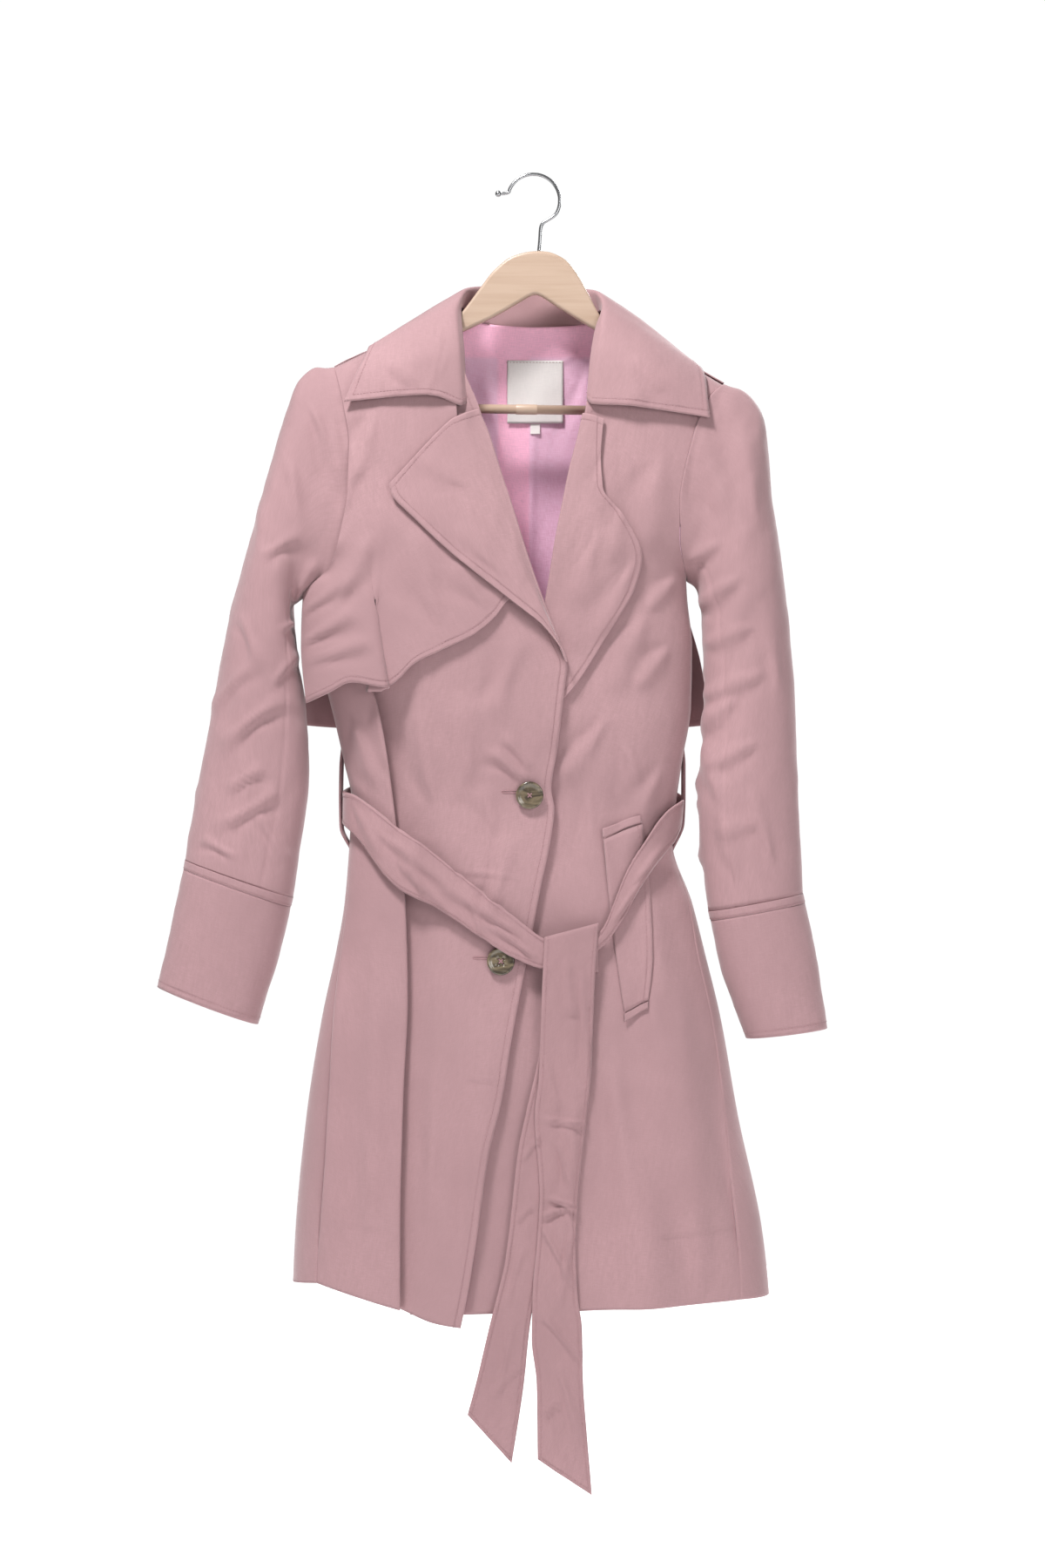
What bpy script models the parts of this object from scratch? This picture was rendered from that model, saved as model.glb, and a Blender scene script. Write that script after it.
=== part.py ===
"""Trench coat hanging on a wooden hanger.

Metres, +Z up, front towards -Y.  The origin is the inside top of the hanger's hook, where it is held.
Tables are in millimetres and turned into metres when a mesh is made.  "left" and "right" in a name are
the wearer's, so the right front, which laps over the other, is on the -X side.
"""

import math

import bmesh
import bpy
import numpy as np

MM = 0.001

# ---- driving sizes, in millimetres
CLOTH = 1.2             # thickness of a cloth wall
HALF_SEAM = 0.5         # how far each panel stands back from a seam
SLEEVE_SEAM = 1.0       # the same for the sleeves at the armholes
ROUND = 2.8             # exponent of the body's rounded section: 2 is an ellipse, more is squarer
SHOULDER_ROLL = 70.0    # height over which front and back roll over into the shoulder line
FLAP_LIFT = 5.0         # storm flap over the front
FLAP_FADE = 60.0        # width over which the cloth beside the flap's fold sinks to its under layer
FLAP_PITCH = 4.0        # spacing of the flap's folded layers
FOLD_PITCH = 6.0        # spacing of the right front's folded layers
FOLD_FADE = 60.0        # width over which the cloth beside the fold sinks to its under layer
FOLD_FLAT = 36.0        # width of the fold's cloth above the place where it starts to fold
UNDERLAP_DEPTH = 7.0    # how far the left front lies behind the right one
CAPE_LIFT = 4.8         # back cape over the back
BELT_LIFT = 8.5         # belt over the front
BELT_BACK_LIFT = 2.6    # belt over the middle of the back
WELT_LIFT = 2.3         # pocket welt and its tabs over the front
LINING_DEPTH = 3.0      # lining inside the back, at its lower end
LABEL_DEPTH = 5.6       # neck label inside the back
NECK_BACK = -162.0      # height of the back's neckline at its middle
NECK_FADE = 240.0       # height over which the neckline's dip fades out down the back
YOKE_LOW = -425.0       # height at the back's middle of the row that ends at the underarms
BACK_HEM = -1146.0      # height of the hem at the back's middle
SIDE_HEMS = (-1126.0, -1142.0)      # height of the hem at the right and left side seam
UNDERLAP_TOP = -350.0   # the left front starts to go behind the right one here
UNDERLAP_DROP = 92.0    # and is fully behind it this much lower
UNDERLAP_WIDE = 92.0    # how far beside the right front's edge it comes out to the surface again
UNDERLAP_RISE = 80.0    # width over which it does so

PANEL_ROWS = (10, 15)    # rows of a front or back down to the underarm, and from there to the hem

BUTTON_RADIUS = 14.0
BUTTON_THICK = 4.0
BUTTON_RIM = 2.2
BUTTON_HOLE_RADIUS = 1.1
BUTTON_HOLE_CIRCLE = 2.9
BUTTONS = (("upper", -8.0, -634.0, 1.9), ("lower", -37.0, -801.0, 1.7))      # across, height, lift

WIRE_RADIUS = 1.75
HOOK_CENTRE = (-4.0, -24.0)
HOOK_RADIUS = 27.0
HOOK_TIP_RADIUS = 3.2
HANGER_THICK = 12.0
HANGER_EDGE = 3.0
BAR_RADIUS = 4.8
BAR_ENDS = ((-177.4, -236.0), (171.4, -241.0))
BAR_COLLAR = (-11.0, 22.0, 5.3)      # middle, length and radius of the joint in the bar

# height, left outline, right outline, depth of the front, depth of the back
BODY = (
    (-100, -250, 266, 24, 30),
    (-140, -249, 262, 27, 34),
    (-200, -248, 253, 34, 37),
    (-300, -246, 216, 47, 42),
    (-370, -243, 177, 54, 45),
    (-410, -241, 152, 56, 46),
    (-431, -240, 153, 57, 46),
    (-482, -228, 158, 59, 46),
    (-543, -211, 157, 59, 45),
    (-599, -198, 148, 56, 44),
    (-640, -190, 142, 53, 43),
    (-682, -192, 138, 56, 44),
    (-744, -197, 158, 62, 48),
    (-791, -205, 170, 65, 51),
    (-861, -220, 187, 70, 55),
    (-962, -236, 205, 78, 61),
    (-1075, -247, 229, 86, 66),
    (-1135, -250, 236, 90, 69),
    (-1180, -252, 239, 92, 71),
)
# the same for the looser storm flap and back cape, which hang from the armholes
CAPE = (
    (-100, -250, 266, 24, 30),
    (-140, -249, 262, 27, 34),
    (-200, -248, 253, 34, 37),
    (-300, -246, 216, 47, 42),
    (-370, -243, 177, 54, 45),
    (-410, -241, 152, 56, 46),
    (-431, -240, 153, 57, 47),
    (-460, -240, 161, 59, 49),
    (-500, -243, 173, 62, 52),
    (-570, -245, 184, 65, 54),
)
# position across, height of the shoulder line; it rises in the neck, where there is no shoulder
SHOULDER = ((-260, -222), (-207, -197), (-140, -165), (-81, -137), (-45, -100),
            (28, -100), (69, -141), (128, -177), (190, -214), (250, -250))

# the back's neckline: position across, height
NECKLINE = ((-81, -137), (-68, -149), (-3, -162), (56, -152), (69, -141))

# height, position of the right front's inner edge: neck, roll line, then front edge
RIGHT_INNER = ((-137, -81), (-178, -79), (-200, -75), (-238, -60), (-301, -41), (-344, -27), (-398, -10),
               (-443, 6), (-478, 20), (-504, 30), (-521, 28), (-588, 20), (-628, 14), (-648, 17), (-681, 13),
               (-724, 4), (-806, -12), (-885, -27), (-936, -35), (-994, -49), (-1077, -61), (-1132, -70),
               (-1166, -77))
# the same for the left front, whose lower part lies behind the right one
LEFT_INNER = ((-141, 69), (-168, 62), (-250, 47), (-315, 32), (-372, 21), (-440, 10), (-509, -6), (-561, -26),
              (-640, -42), (-760, -60), (-885, -80), (-1030, -106), (-1156, -128))
# height, angle round the body of the side seams below the armholes; they turn to the front at the hips
RIGHT_SIDE = ((-431, 180), (-640, 180), (-690, 184), (-743, 191), (-795, 197), (-888, 207), (-944, 211),
              (-1028, 213), (-1126, 212))
LEFT_SIDE = ((-410, 0), (-640, 0), (-690, -8), (-744, -15), (-804, -21), (-888, -22), (-958, -25),
             (-1046, -32), (-1142, -35))
# armholes from the shoulder point to the underarm: position across, height
RIGHT_ARMHOLE = ((-207, -197), (-197, -234), (-190, -281), (-191, -323), (-197, -362), (-204, -394),
                 (-216, -415), (-240, -431))
RIGHT_ARMHOLE_BACK = ((-207, -197), (-199, -236), (-194, -283), (-195, -325), (-200, -364), (-208, -396),
                      (-220, -416), (-240, -431))
LEFT_ARMHOLE = ((190, -214), (175, -228), (163, -252), (156, -275), (149, -303), (144, -335), (144, -374),
                (152, -410))
LEFT_ARMHOLE_BACK = ((190, -214), (178, -232), (167, -258), (160, -282), (154, -310), (150, -340),
                     (149, -376), (152, -410))
# the deep fold of the right front: height, its outer edge, how far its under-turn lies behind that, share
RIGHT_FOLD = ((-340, -183, 0, 0.0), (-420, -180, 4, 0.25), (-500, -176, 10, 0.75), (-545, -164, 16, 1.0),
              (-580, -157, 20, 1.0), (-662, -146, 21, 1.0), (-729, -137, 32, 1.0), (-831, -134, 50, 1.0),
              (-920, -138, 60, 1.0), (-1050, -141, 66, 1.0), (-1134, -141, 68, 1.0))
FLAP_FOLD = ((-340, -181, 0, 0.0), (-380, -178, 2, 0.2), (-460, -167, 10, 0.7), (-540, -156, 16, 1.0))
# soft fold of the left front: height, position, depth, half width
LEFT_FOLD = ((-700, 108, 0, 16), (-773, 119, 7, 16), (-831, 127, 9, 20), (-960, 122, 9, 26),
             (-1140, 112, 11, 30))

# sleeves: outer outline across and height, inner outline across and height, half depth, middle, and how
# much of the armhole's own shape each ring keeps
RIGHT_SLEEVE = (
    (-207, -197, -240, -431, 28, 0, 1.0),
    (-225, -196, -246, -435, 33, -1, 0.8),
    (-243, -208, -252, -440, 38, -2, 0.5),
    (-256, -238, -254, -447, 42, -3, 0.25),
    (-270, -285, -252, -459, 45, -4, 0.1),
    (-284, -336, -248, -476, 46, -5, 0.0),
    (-300, -392, -244, -500, 46, -7, 0.0),
    (-320, -483, -237, -548, 44, -10, 0.0),
    (-339, -587, -234, -612, 42, -14, 0.0),
    (-354, -670, -243, -688, 40, -18, 0.0),
    (-358.5, -700, -250, -738, 39, -20, 0.0),
)
LEFT_SLEEVE = (
    (190, -214, 152, -410, 28, 0, 1.0),
    (207, -218, 158, -414, 33, -1, 0.8),
    (222, -231, 163, -419, 38, -2, 0.5),
    (232, -252, 166, -427, 42, -3, 0.25),
    (237, -290, 168, -440, 45, -4, 0.1),
    (240, -330, 169, -456, 46, -5, 0.0),
    (247, -378, 170, -478, 46, -7, 0.0),
    (256, -455, 171, -522, 44, -10, 0.0),
    (263, -550, 169, -580, 42, -14, 0.0),
    (266, -640, 163, -648, 40, -18, 0.0),
    (270, -734, 175, -752, 39, -20, 0.0),
)
SLEEVE_SEAMS = ((0.0, 160, 205), (0.35, 138, 232), (1.0, 118, 248))   # share down, front and back seam angle
# cuffs: outer outline, inner outline, half depth, middle
RIGHT_CUFF = ((-360, -709.5, -252.5, -747.5, 39, -20), (-373, -768, -261, -785, 37, -22),
              (-386, -829, -285, -867, 34, -24))
LEFT_CUFF = ((272, -743.5, 177.5, -761.5, 39, -20), (284, -800, 187, -808, 37, -22),
             (294, -871, 213, -881, 34, -24))

# collar sections from the right front round the back of the neck to the left front:
# neck seam, roll, middle of the fall, edge of the fall, each across, depth and height
COLLAR = (
    ((-72, -38, -236), (-77, -44, -240), (-113, -49, -229), (-196, -41, -235)),
    ((-74, -29, -190), (-80, -37, -188), (-125, -43, -196), (-184, -33, -206)),
    ((-77.5, -13, -150), (-84, -17, -140), (-125, -19, -156), (-175, -17, -184)),
    ((-78.5, -3, -136), (-79, -4, -124), (-121, -4, -144), (-171, -4, -174)),
    ((-77.5, 8, -134), (-71, 10, -111), (-116, 11, -138), (-166, 11, -173)),
    ((-52, 27, -150), (-48, 33, -104), (-85, 46, -132), (-130, 46, -184)),
    ((-3, 36, -161), (-3, 44, -102), (-3, 57, -130), (-3, 57, -192)),
    ((42, 27, -152), (42, 33, -106), (79, 46, -138), (124, 48, -192)),
    ((65.5, 8, -138), (60, 10, -114), (108, 11, -146), (161, 12, -191)),
    ((66.5, -3, -140), (67, -4, -128), (112, -4, -156), (166, -4, -195)),
    ((60, -13, -155), (67.5, -17, -143), (113, -19, -168), (171, -17, -207)),
    ((53.5, -29, -190), (62, -37, -188), (110, -43, -203), (173, -33, -232)),
    ((50, -38, -232), (54, -44, -238), (91, -49, -240), (175, -40, -251)),
)
# lapels: roll line, middle and outer edge, each across and height, from the notch to the lower end
RIGHT_LAPEL = (
    ((-62, -243), (-84, -252), (-150, -320)),
    ((-52, -266), (-90, -297), (-147, -331)),
    ((-41, -301), (-80, -327), (-122, -357)),
    ((-27, -344), (-57, -366), (-88, -389)),
    ((-10, -398), (-20, -416), (-29, -436)),
    ((6, -443), (6, -454), (7, -465)),
    ((20, -478), (23, -485), (27, -492)),
    ((27.5, -497), (28.5, -498.5), (29.5, -500)),
)
LEFT_LAPEL = (
    ((48, -247), (57, -249), (67, -253)),
    ((43, -270), (54, -279), (64, -290)),
    ((34, -305), (50, -313), (66, -323)),
    ((27, -340), (58, -346), (88, -353)),
    ((20, -375), (63, -383), (106, -393)),
    ((12, -425), (56, -424), (99, -423)),
    ((2, -475), (36, -474), (70, -473)),
    ((-10, -520), (12, -524), (34, -528)),
    ((-22, -552), (-15, -558), (-8, -566)),
)
# storm flap: rows from the shoulder to the hem; inner end, outer end, each across and height
FLAP = (
    (-90, -142, -207, -197),
    (-86, -185, -197, -234),
    (-82, -240, -190, -281),
    (-76, -298, -191, -323),
    (-64, -345, -197, -362),
    (-45, -385, -207, -400),
    (-30, -408, -234.5, -434),
    (-20, -420, -236, -482),
    (-14, -428, -231, -540),
)
# height of the flap's hem across it, from the inner end
FLAP_HEM = ((-14, -428), (-29, -437), (-43, -455), (-65, -473), (-96, -488), (-124, -502), (-141, -519),
            (-157, -530))
FLAP_SIDE_HEM = ((-156, -526), (-187, -521), (-208, -531), (-231, -541))
FRONT_HEM = ((-77, -1166), (-104, -1162), (-139, -1149), (-163, -1139), (-207, -1128))
CAPE_HEM = -562.0
# height, angle of the cape's free side edges
CAPE_RIGHT_SIDE = ((-431, 163), (-562, 162))
CAPE_LEFT_SIDE = ((-410, 17), (-562, 18))
# belt: upper and lower edge, each across and height
BELT_RIGHT = ((-191, -630, -192, -662), (-183, -632, -176, -680), (-144, -663, -141, -727),
              (-112, -687, -97, -750), (-69, -721, -60, -775), (-25, -755, -24, -798), (7, -779, 7, -809),
              (33, -788, 33, -812))
BELT_LEFT = ((33.4, -783, 33.4, -800), (61, -772, 61, -789), (84, -722, 88, -755), (106, -678, 112, -712),
             (126, -650, 133, -680), (141, -638, 139, -664))
BELT_BACK = ((180, -630, -662), (150, -621, -669), (90, -617, -667), (30, -626, -672), (0, -638, -664))
# tails: left edge and right edge, each across and height, then how far in front of the coat they hang
TAIL_LONG = ((7, -780, 61, -766, 11.8), (5, -815, 58, -808, 11.0), (1, -918, 53, -918, 4.6),
             (-3, -957, 49, -957, 3.6), (2, -1030, 40, -1040, 3.4), (0, -1074, 38, -1090, 3.4),
             (-5, -1129, 40, -1135, 3.4), (-6, -1176, 44, -1165, 3.4), (-1, -1223, 45, -1215, 3.4),
             (0, -1296, 54, -1332, 3.4))
TAIL_SHORT = ((5, -820, 34, -820, 4.2), (3, -880, 32, -880, 1.6), (-11, -949, 28, -949, 1.6),
              (-20, -993, 24, -995, 1.6), (-26, -1048, 16, -1052, 1.6), (-32, -1096, 3, -1105, 1.6),
              (-49, -1167, -8, -1165, 1.6), (-61, -1218, -14, -1222, 1.6), (-70, -1252, -26, -1300, 1.6))
TAIL_TURN = 3.1         # radius of the fold at the top of the long tail
TAIL_BACK_END = -812.0
HEM_LINE = -1150.0      # below this the tails hang free
LOOP_WIDTH = 7.0
LOOPS = (("right", ((-203.4, -583), (-205.5, -605), (-206, -635), (-205.5, -665), (-196.4, -693))),
         ("left", ((152.8, -583), (154.5, -605), (154.5, -635), (153.5, -662), (143.8, -694))))
# pocket welt: left and right edge from the top down, each across and height
WELT = ((66, -679, 105, -663), (72, -740, 113, -735), (78, -790, 116, -795), (87, -852, 112, -840))
WELT_TABS = (("upper", ((65, -668, 104, -654), (65.5, -677.5, 104.5, -661.5))),
             ("lower", ((87, -853.5, 112, -841.5), (87, -862, 112, -848))))
LINING = ((-79, 64, -153), (-88, 74, -190), (-84, 72, -260), (-72, 66, -340), (-60, 60, -460))
LINING_TOP = ((-79, -157), (-60, -161), (-1, -165), (45, -163), (64, -161))
LABEL = (-31.0, 27.0, -184.0, -249.0)
SIZE_TAG = (-7.0, 3.0, -249.4, -260.0)

# hanger outline: upper edge from its -X end to its +X end, then the under edge back: across, height
HANGER_TOP = ((-203, -224), (-186, -197), (-145, -171.5), (-100, -150), (-84, -147), (-75, -136), (-66, -124),
              (-47, -98), (-30, -83), (-12, -77), (1, -76), (14, -77), (30, -85), (42, -101), (53, -121),
              (61, -137), (70, -151), (88, -158), (130, -183.5), (172, -212), (197, -242))
HANGER_UNDER = ((192, -256), (172, -256), (171.8, -232), (146, -209), (104, -184), (64, -160), (30, -131),
                (14, -121), (-2, -119), (-18, -121), (-36, -130), (-79, -155), (-116, -176), (-154, -198),
                (-177.8, -222), (-178, -250), (-198, -250))

# colour, roughness, metallic
FINISHES = {
    "cloth": ((0.58, 0.36, 0.37), 0.85, 0.0),
    "cloth_belt": ((0.55, 0.33, 0.34), 0.85, 0.0),
    "lining": ((0.80, 0.36, 0.52), 0.45, 0.0),
    "label": ((0.86, 0.80, 0.76), 0.70, 0.0),
    "horn": ((0.30, 0.24, 0.17), 0.35, 0.0),
    "wood": ((0.80, 0.58, 0.38), 0.45, 0.0),
    "steel": ((0.62, 0.62, 0.62), 0.25, 1.0),
}


def clear_scene():
    """Remove every object of the scene the script runs in."""
    for item in list(bpy.data.objects):
        bpy.data.objects.remove(item, do_unlink=True)


def collection(name):
    """Make a collection of that name under the scene."""
    made = bpy.data.collections.new(name)
    bpy.context.scene.collection.children.link(made)
    return made


def finish(name):
    """Material for one of FINISHES."""
    colour, roughness, metallic = FINISHES[name]
    made = bpy.data.materials.get(name) or bpy.data.materials.new(name)
    made.use_nodes = True
    shader = made.node_tree.nodes["Principled BSDF"]
    shader.inputs["Base Color"].default_value = (*colour, 1.0)
    shader.inputs["Roughness"].default_value = roughness
    shader.inputs["Metallic"].default_value = metallic
    return made


# ---- curves and surfaces, all in millimetres

def smooth(keys, values, at):
    """Cubic through the values at rising keys that never overshoots them, read at `at`."""
    keys, values, at = np.asarray(keys, float), np.asarray(values, float), np.asarray(at, float)
    shape = (-1,) + (1,) * (values.ndim - 1)
    step = np.diff(keys).reshape(shape)
    slope = np.diff(values, axis=0) / step
    tangent = np.zeros_like(values)
    tangent[0], tangent[-1] = slope[0], slope[-1]
    product = slope[:-1] * slope[1:]
    total = slope[:-1] + slope[1:]
    tangent[1:-1] = np.where(product > 0, 2 * product / np.where(product > 0, total, 1), 0)
    at = np.clip(at, keys[0], keys[-1])
    i = np.clip(np.searchsorted(keys, at, side="right") - 1, 0, len(keys) - 2)
    tail = at.shape + (1,) * (values.ndim - 1)
    h = (keys[i + 1] - keys[i]).reshape(tail)
    t = ((at - keys[i]) / (keys[i + 1] - keys[i])).reshape(tail)
    return (values[i] * (1 + 2 * t) * (1 - t) ** 2 + tangent[i] * h * t * (1 - t) ** 2
            + values[i + 1] * t * t * (3 - 2 * t) - tangent[i + 1] * h * t * t * (1 - t))


def by_height(table, z):
    """The other columns of a table whose first column is a falling height, at heights z."""
    table = np.asarray(table, float)
    return smooth(-table[:, 0], table[:, 1:], -np.asarray(z, float))


def even(table, share):
    """A table's rows read at shares 0 to 1 of its length, rows evenly spaced."""
    table = np.asarray(table, float)
    return smooth(np.linspace(0, 1, len(table)), table, share)


def ease(t):
    """0 below 0, 1 above 1, and a soft step between."""
    t = np.clip(t, 0, 1)
    return t * t * (3 - 2 * t)


def shoulder_share(x, z):
    """How far the surface at x, z has come away from the shoulder line: 0 on it, 1 below the roll."""
    line = smooth([row[0] for row in SHOULDER], [row[1] for row in SHOULDER], x)
    drop = np.clip((line - z) / SHOULDER_ROLL, 0, 1)
    return np.sqrt(1 - (1 - drop) ** 2)


def skin(x, z, side, table=BODY):
    """Depth of the body's surface over x, z: side -1 is the front, 1 the back."""
    left, right, front, back = np.moveaxis(by_height(table, z), -1, 0)
    across = np.clip(np.abs(x - (left + right) / 2) / ((right - left) / 2), 0, 1)
    depth = (front if side < 0 else back) * (1 - across ** ROUND) ** (1 / ROUND)
    return side * depth * shoulder_share(x, z)


def angle_at(x, z, side, table=BODY):
    """Angle round the body's section of the point at x: 0 at +X, 90 at the back, 180 at -X."""
    left, right, _, _ = np.moveaxis(by_height(table, z), -1, 0)
    across = np.clip((x - (left + right) / 2) / ((right - left) / 2), -1, 1)
    angle = np.degrees(np.arccos(np.sign(across) * np.abs(across) ** (ROUND / 2)))
    return angle if side > 0 else np.where(across < 0, 360 - angle, -angle)


def around(angle, z, table=BODY):
    """Point of the body's section at an angle and height."""
    left, right, front, back = np.moveaxis(by_height(table, z), -1, 0)
    cosine, sine = np.cos(np.radians(angle)), np.sin(np.radians(angle))
    x = (left + right) / 2 + (right - left) / 2 * np.sign(cosine) * np.abs(cosine) ** (2 / ROUND)
    y = np.where(sine > 0, back, front) * np.sign(sine) * np.abs(sine) ** (2 / ROUND)
    return np.stack([x, y * shoulder_share(x, z), z + 0 * x], axis=-1)


def normals(grid):
    """Unit normal at each point of a grid, pointing to the left of its rows' direction."""
    along = np.gradient(grid, axis=1)
    down = np.gradient(grid, axis=0)
    cross = np.cross(down, along)
    return cross / np.maximum(np.linalg.norm(cross, axis=-1, keepdims=True), 1e-9)


def lifted(grid, by, outwards):
    """A grid moved off its surface; outwards is a point's sign test, made with the middle of the grid."""
    way = normals(grid)
    middle = way[grid.shape[0] // 2, grid.shape[1] // 2]
    if np.dot(middle, outwards) < 0:
        way = -way
    return grid + way * np.asarray(by, float)[..., None]


def stand_back(grid, *edges, by=HALF_SEAM):
    """Pull a grid's named edges (first_row, last_row, first_column, last_column) in along the cloth."""
    grid = grid.copy()
    ends = {"first_row": (0, 1, 0), "last_row": (-1, -2, 0),
            "first_column": (0, 1, 1), "last_column": (-1, -2, 1)}
    for edge in edges:
        end, inner, axis = ends[edge]
        view = grid if axis == 0 else grid.swapaxes(0, 1)
        step = view[inner] - view[end]
        view[end] += step / np.linalg.norm(step, axis=-1, keepdims=True) * by
    return grid


def shoulder_rows(count):
    """Shares 0 to 1 that lie closer together towards the shoulder line."""
    return np.linspace(0, 1, count) ** 1.7


def crowded(count, power=1.6):
    """Shares 0 to 1 that lie closer together towards 1."""
    return 1 - (1 - np.linspace(0, 1, count)) ** power


# ---- objects

def place(name, mesh, finish_name, home):
    """An object of a mesh, with its material, in its collection."""
    made = bpy.data.objects.new(name, mesh)
    mesh.materials.append(finish(finish_name))
    home.objects.link(made)
    return made


def sheet(name, grid, finish_name, home, closed=False, thick=CLOTH):
    """A cloth wall through a grid of points; closed joins each row's end to its start."""
    rows, columns = grid.shape[:2]
    body = bmesh.new()
    points = [[body.verts.new(point * MM) for point in row] for row in grid]
    steps = columns if closed else columns - 1
    for r in range(rows - 1):
        for c in range(steps):
            d = (c + 1) % columns
            body.faces.new((points[r][c], points[r + 1][c], points[r + 1][d], points[r][d]))
    bmesh.ops.recalc_face_normals(body, faces=body.faces)
    mesh = bpy.data.meshes.new(name)
    body.to_mesh(mesh)
    body.free()
    mesh.shade_smooth()
    made = place(name, mesh, finish_name, home)
    wall = made.modifiers.new("wall", "SOLIDIFY")
    wall.thickness = thick * MM
    wall.offset = 0.0
    return made


# ---- body panels

def fold_path(edge, reach, share, pitch):
    """Nine points across a deep fold, from its under-turn to its outer edge: across and depth.

    With share 0 they lie flat side by side; with share 1 they go under, back and round again.
    """
    q = np.linspace(0, 1, 9)
    turn = 0.43 * pitch
    under = edge - reach
    across = np.stack([under, under - turn, under - turn, under, (under + edge) / 2, edge, edge + turn,
                       edge + turn, edge])
    depth = pitch * np.array([2, 1.75, 1.25, 1, 1, 1, 0.75, 0.25, 0])[:, None] * np.ones_like(edge)
    flat = edge + FOLD_FLAT * (1 - q[:, None])
    return (flat * (1 - share) + across * share).T, (depth * share).T


def folded_rows(inner, outer, fold, pitch, centre_columns, side_columns, fade):
    """Front-view rows with a deep fold in them: across, height, depth behind the smooth surface."""
    row_fold = by_height(fold, outer[:, 1])
    edge, reach, share = row_fold[:, 0], row_fold[:, 1], row_fold[:, 2]
    path_x, path_d = fold_path(edge, reach, share, pitch)
    t = np.linspace(0, 1, centre_columns + 1)[:-1]
    centre_x = inner[:, :1] + (path_x[:, :1] - inner[:, :1]) * t
    centre_d = path_d[:, :1] * ease((fade + edge[:, None] - centre_x) / fade)
    side_t = crowded(side_columns + 1, 1.5)[1:]
    side_x = edge[:, None] + (outer[:, :1] - edge[:, None]) * side_t
    x = np.concatenate([centre_x, path_x, side_x], axis=1)
    depth = np.concatenate([centre_d, path_d, 0 * side_x], axis=1)
    share_across = (x - inner[:, :1]) / (outer[:, :1] - inner[:, :1])
    z = inner[:, 1:] + (outer[:, 1:] - inner[:, 1:]) * share_across
    return x, z, depth


def boundary(inner_table, inner_heights, armhole, side_table, side_end, upper_rows, lower_rows):
    """Inner and outer ends of a front's rows, from the shoulder line down to the hem."""
    t_up, t_low = shoulder_rows(upper_rows), np.linspace(0, 1, lower_rows + 1)[1:]
    top, middle, bottom = inner_heights
    z_in = np.concatenate([top + (middle - top) * t_up, middle + (bottom - middle) * t_low])
    inner = np.stack([by_height(inner_table, z_in)[:, 0], z_in], axis=1)
    z_low = armhole[-1][1] + (side_end - armhole[-1][1]) * t_low
    lower = around(by_height(side_table, z_low)[:, 0], z_low)[:, ::2]
    return inner, np.concatenate([even(armhole, t_up), lower])


def right_front_grid():
    """Right front: laps over the left one and has the deep fold."""
    inner, outer = boundary(RIGHT_INNER, (-137, -440, -1166), RIGHT_ARMHOLE, RIGHT_SIDE, SIDE_HEMS[0],
                            *PANEL_ROWS)
    x, z, depth = folded_rows(inner, outer, RIGHT_FOLD, FOLD_PITCH, 7, 5, FOLD_FADE)
    hem = smooth([-row[0] for row in FRONT_HEM], [row[1] for row in FRONT_HEM], -x[-1, :8])
    low = ease((-800 - z) / 330)
    z[:, :8] += (hem - z[-1, :8]) * low[:, :8]
    return np.stack([x, skin(x, z, -1) + depth, z], axis=-1)


def underlap(x, z):
    """How far the left front lies behind the smooth front surface."""
    edge = by_height(RIGHT_INNER, z)[..., 0]
    fold_edge, _, share = np.moveaxis(by_height(RIGHT_FOLD, z), -1, 0)
    sink = 2 * FOLD_PITCH * share * ease((FOLD_FADE + fold_edge - x) / FOLD_FADE)
    behind = ease((UNDERLAP_TOP - z) / UNDERLAP_DROP)
    return UNDERLAP_DEPTH * behind * ease((edge + UNDERLAP_WIDE - x) / UNDERLAP_RISE) + sink * behind


def soft_fold(x, z):
    """Forward swell of the left front's soft fold."""
    place_x, deep, wide = np.moveaxis(by_height(LEFT_FOLD, z), -1, 0)
    return deep * np.exp(-((x - place_x) / wide) ** 2) * (z < LEFT_FOLD[0][0])


def left_front_grid():
    """Left front: its inner part lies behind the right one."""
    inner, outer = boundary(LEFT_INNER, (-141, -420, -1156), LEFT_ARMHOLE, LEFT_SIDE, SIDE_HEMS[1],
                            *PANEL_ROWS)
    t = crowded(15)
    x = inner[:, :1] + (outer[:, :1] - inner[:, :1]) * t
    z = inner[:, 1:] + (outer[:, 1:] - inner[:, 1:]) * t
    return np.stack([x, skin(x, z, -1) + underlap(x, z) - soft_fold(x, z), z], axis=-1)


def back_top(x):
    """Height of the back's upper edge: the neckline, then the shoulder line."""
    neck = smooth([row[0] for row in NECKLINE], [row[1] for row in NECKLINE], x)
    shoulder = smooth([row[0] for row in SHOULDER], [row[1] for row in SHOULDER], x)
    return np.where((x > NECKLINE[0][0]) & (x < NECKLINE[-1][0]), neck, shoulder)


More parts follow.
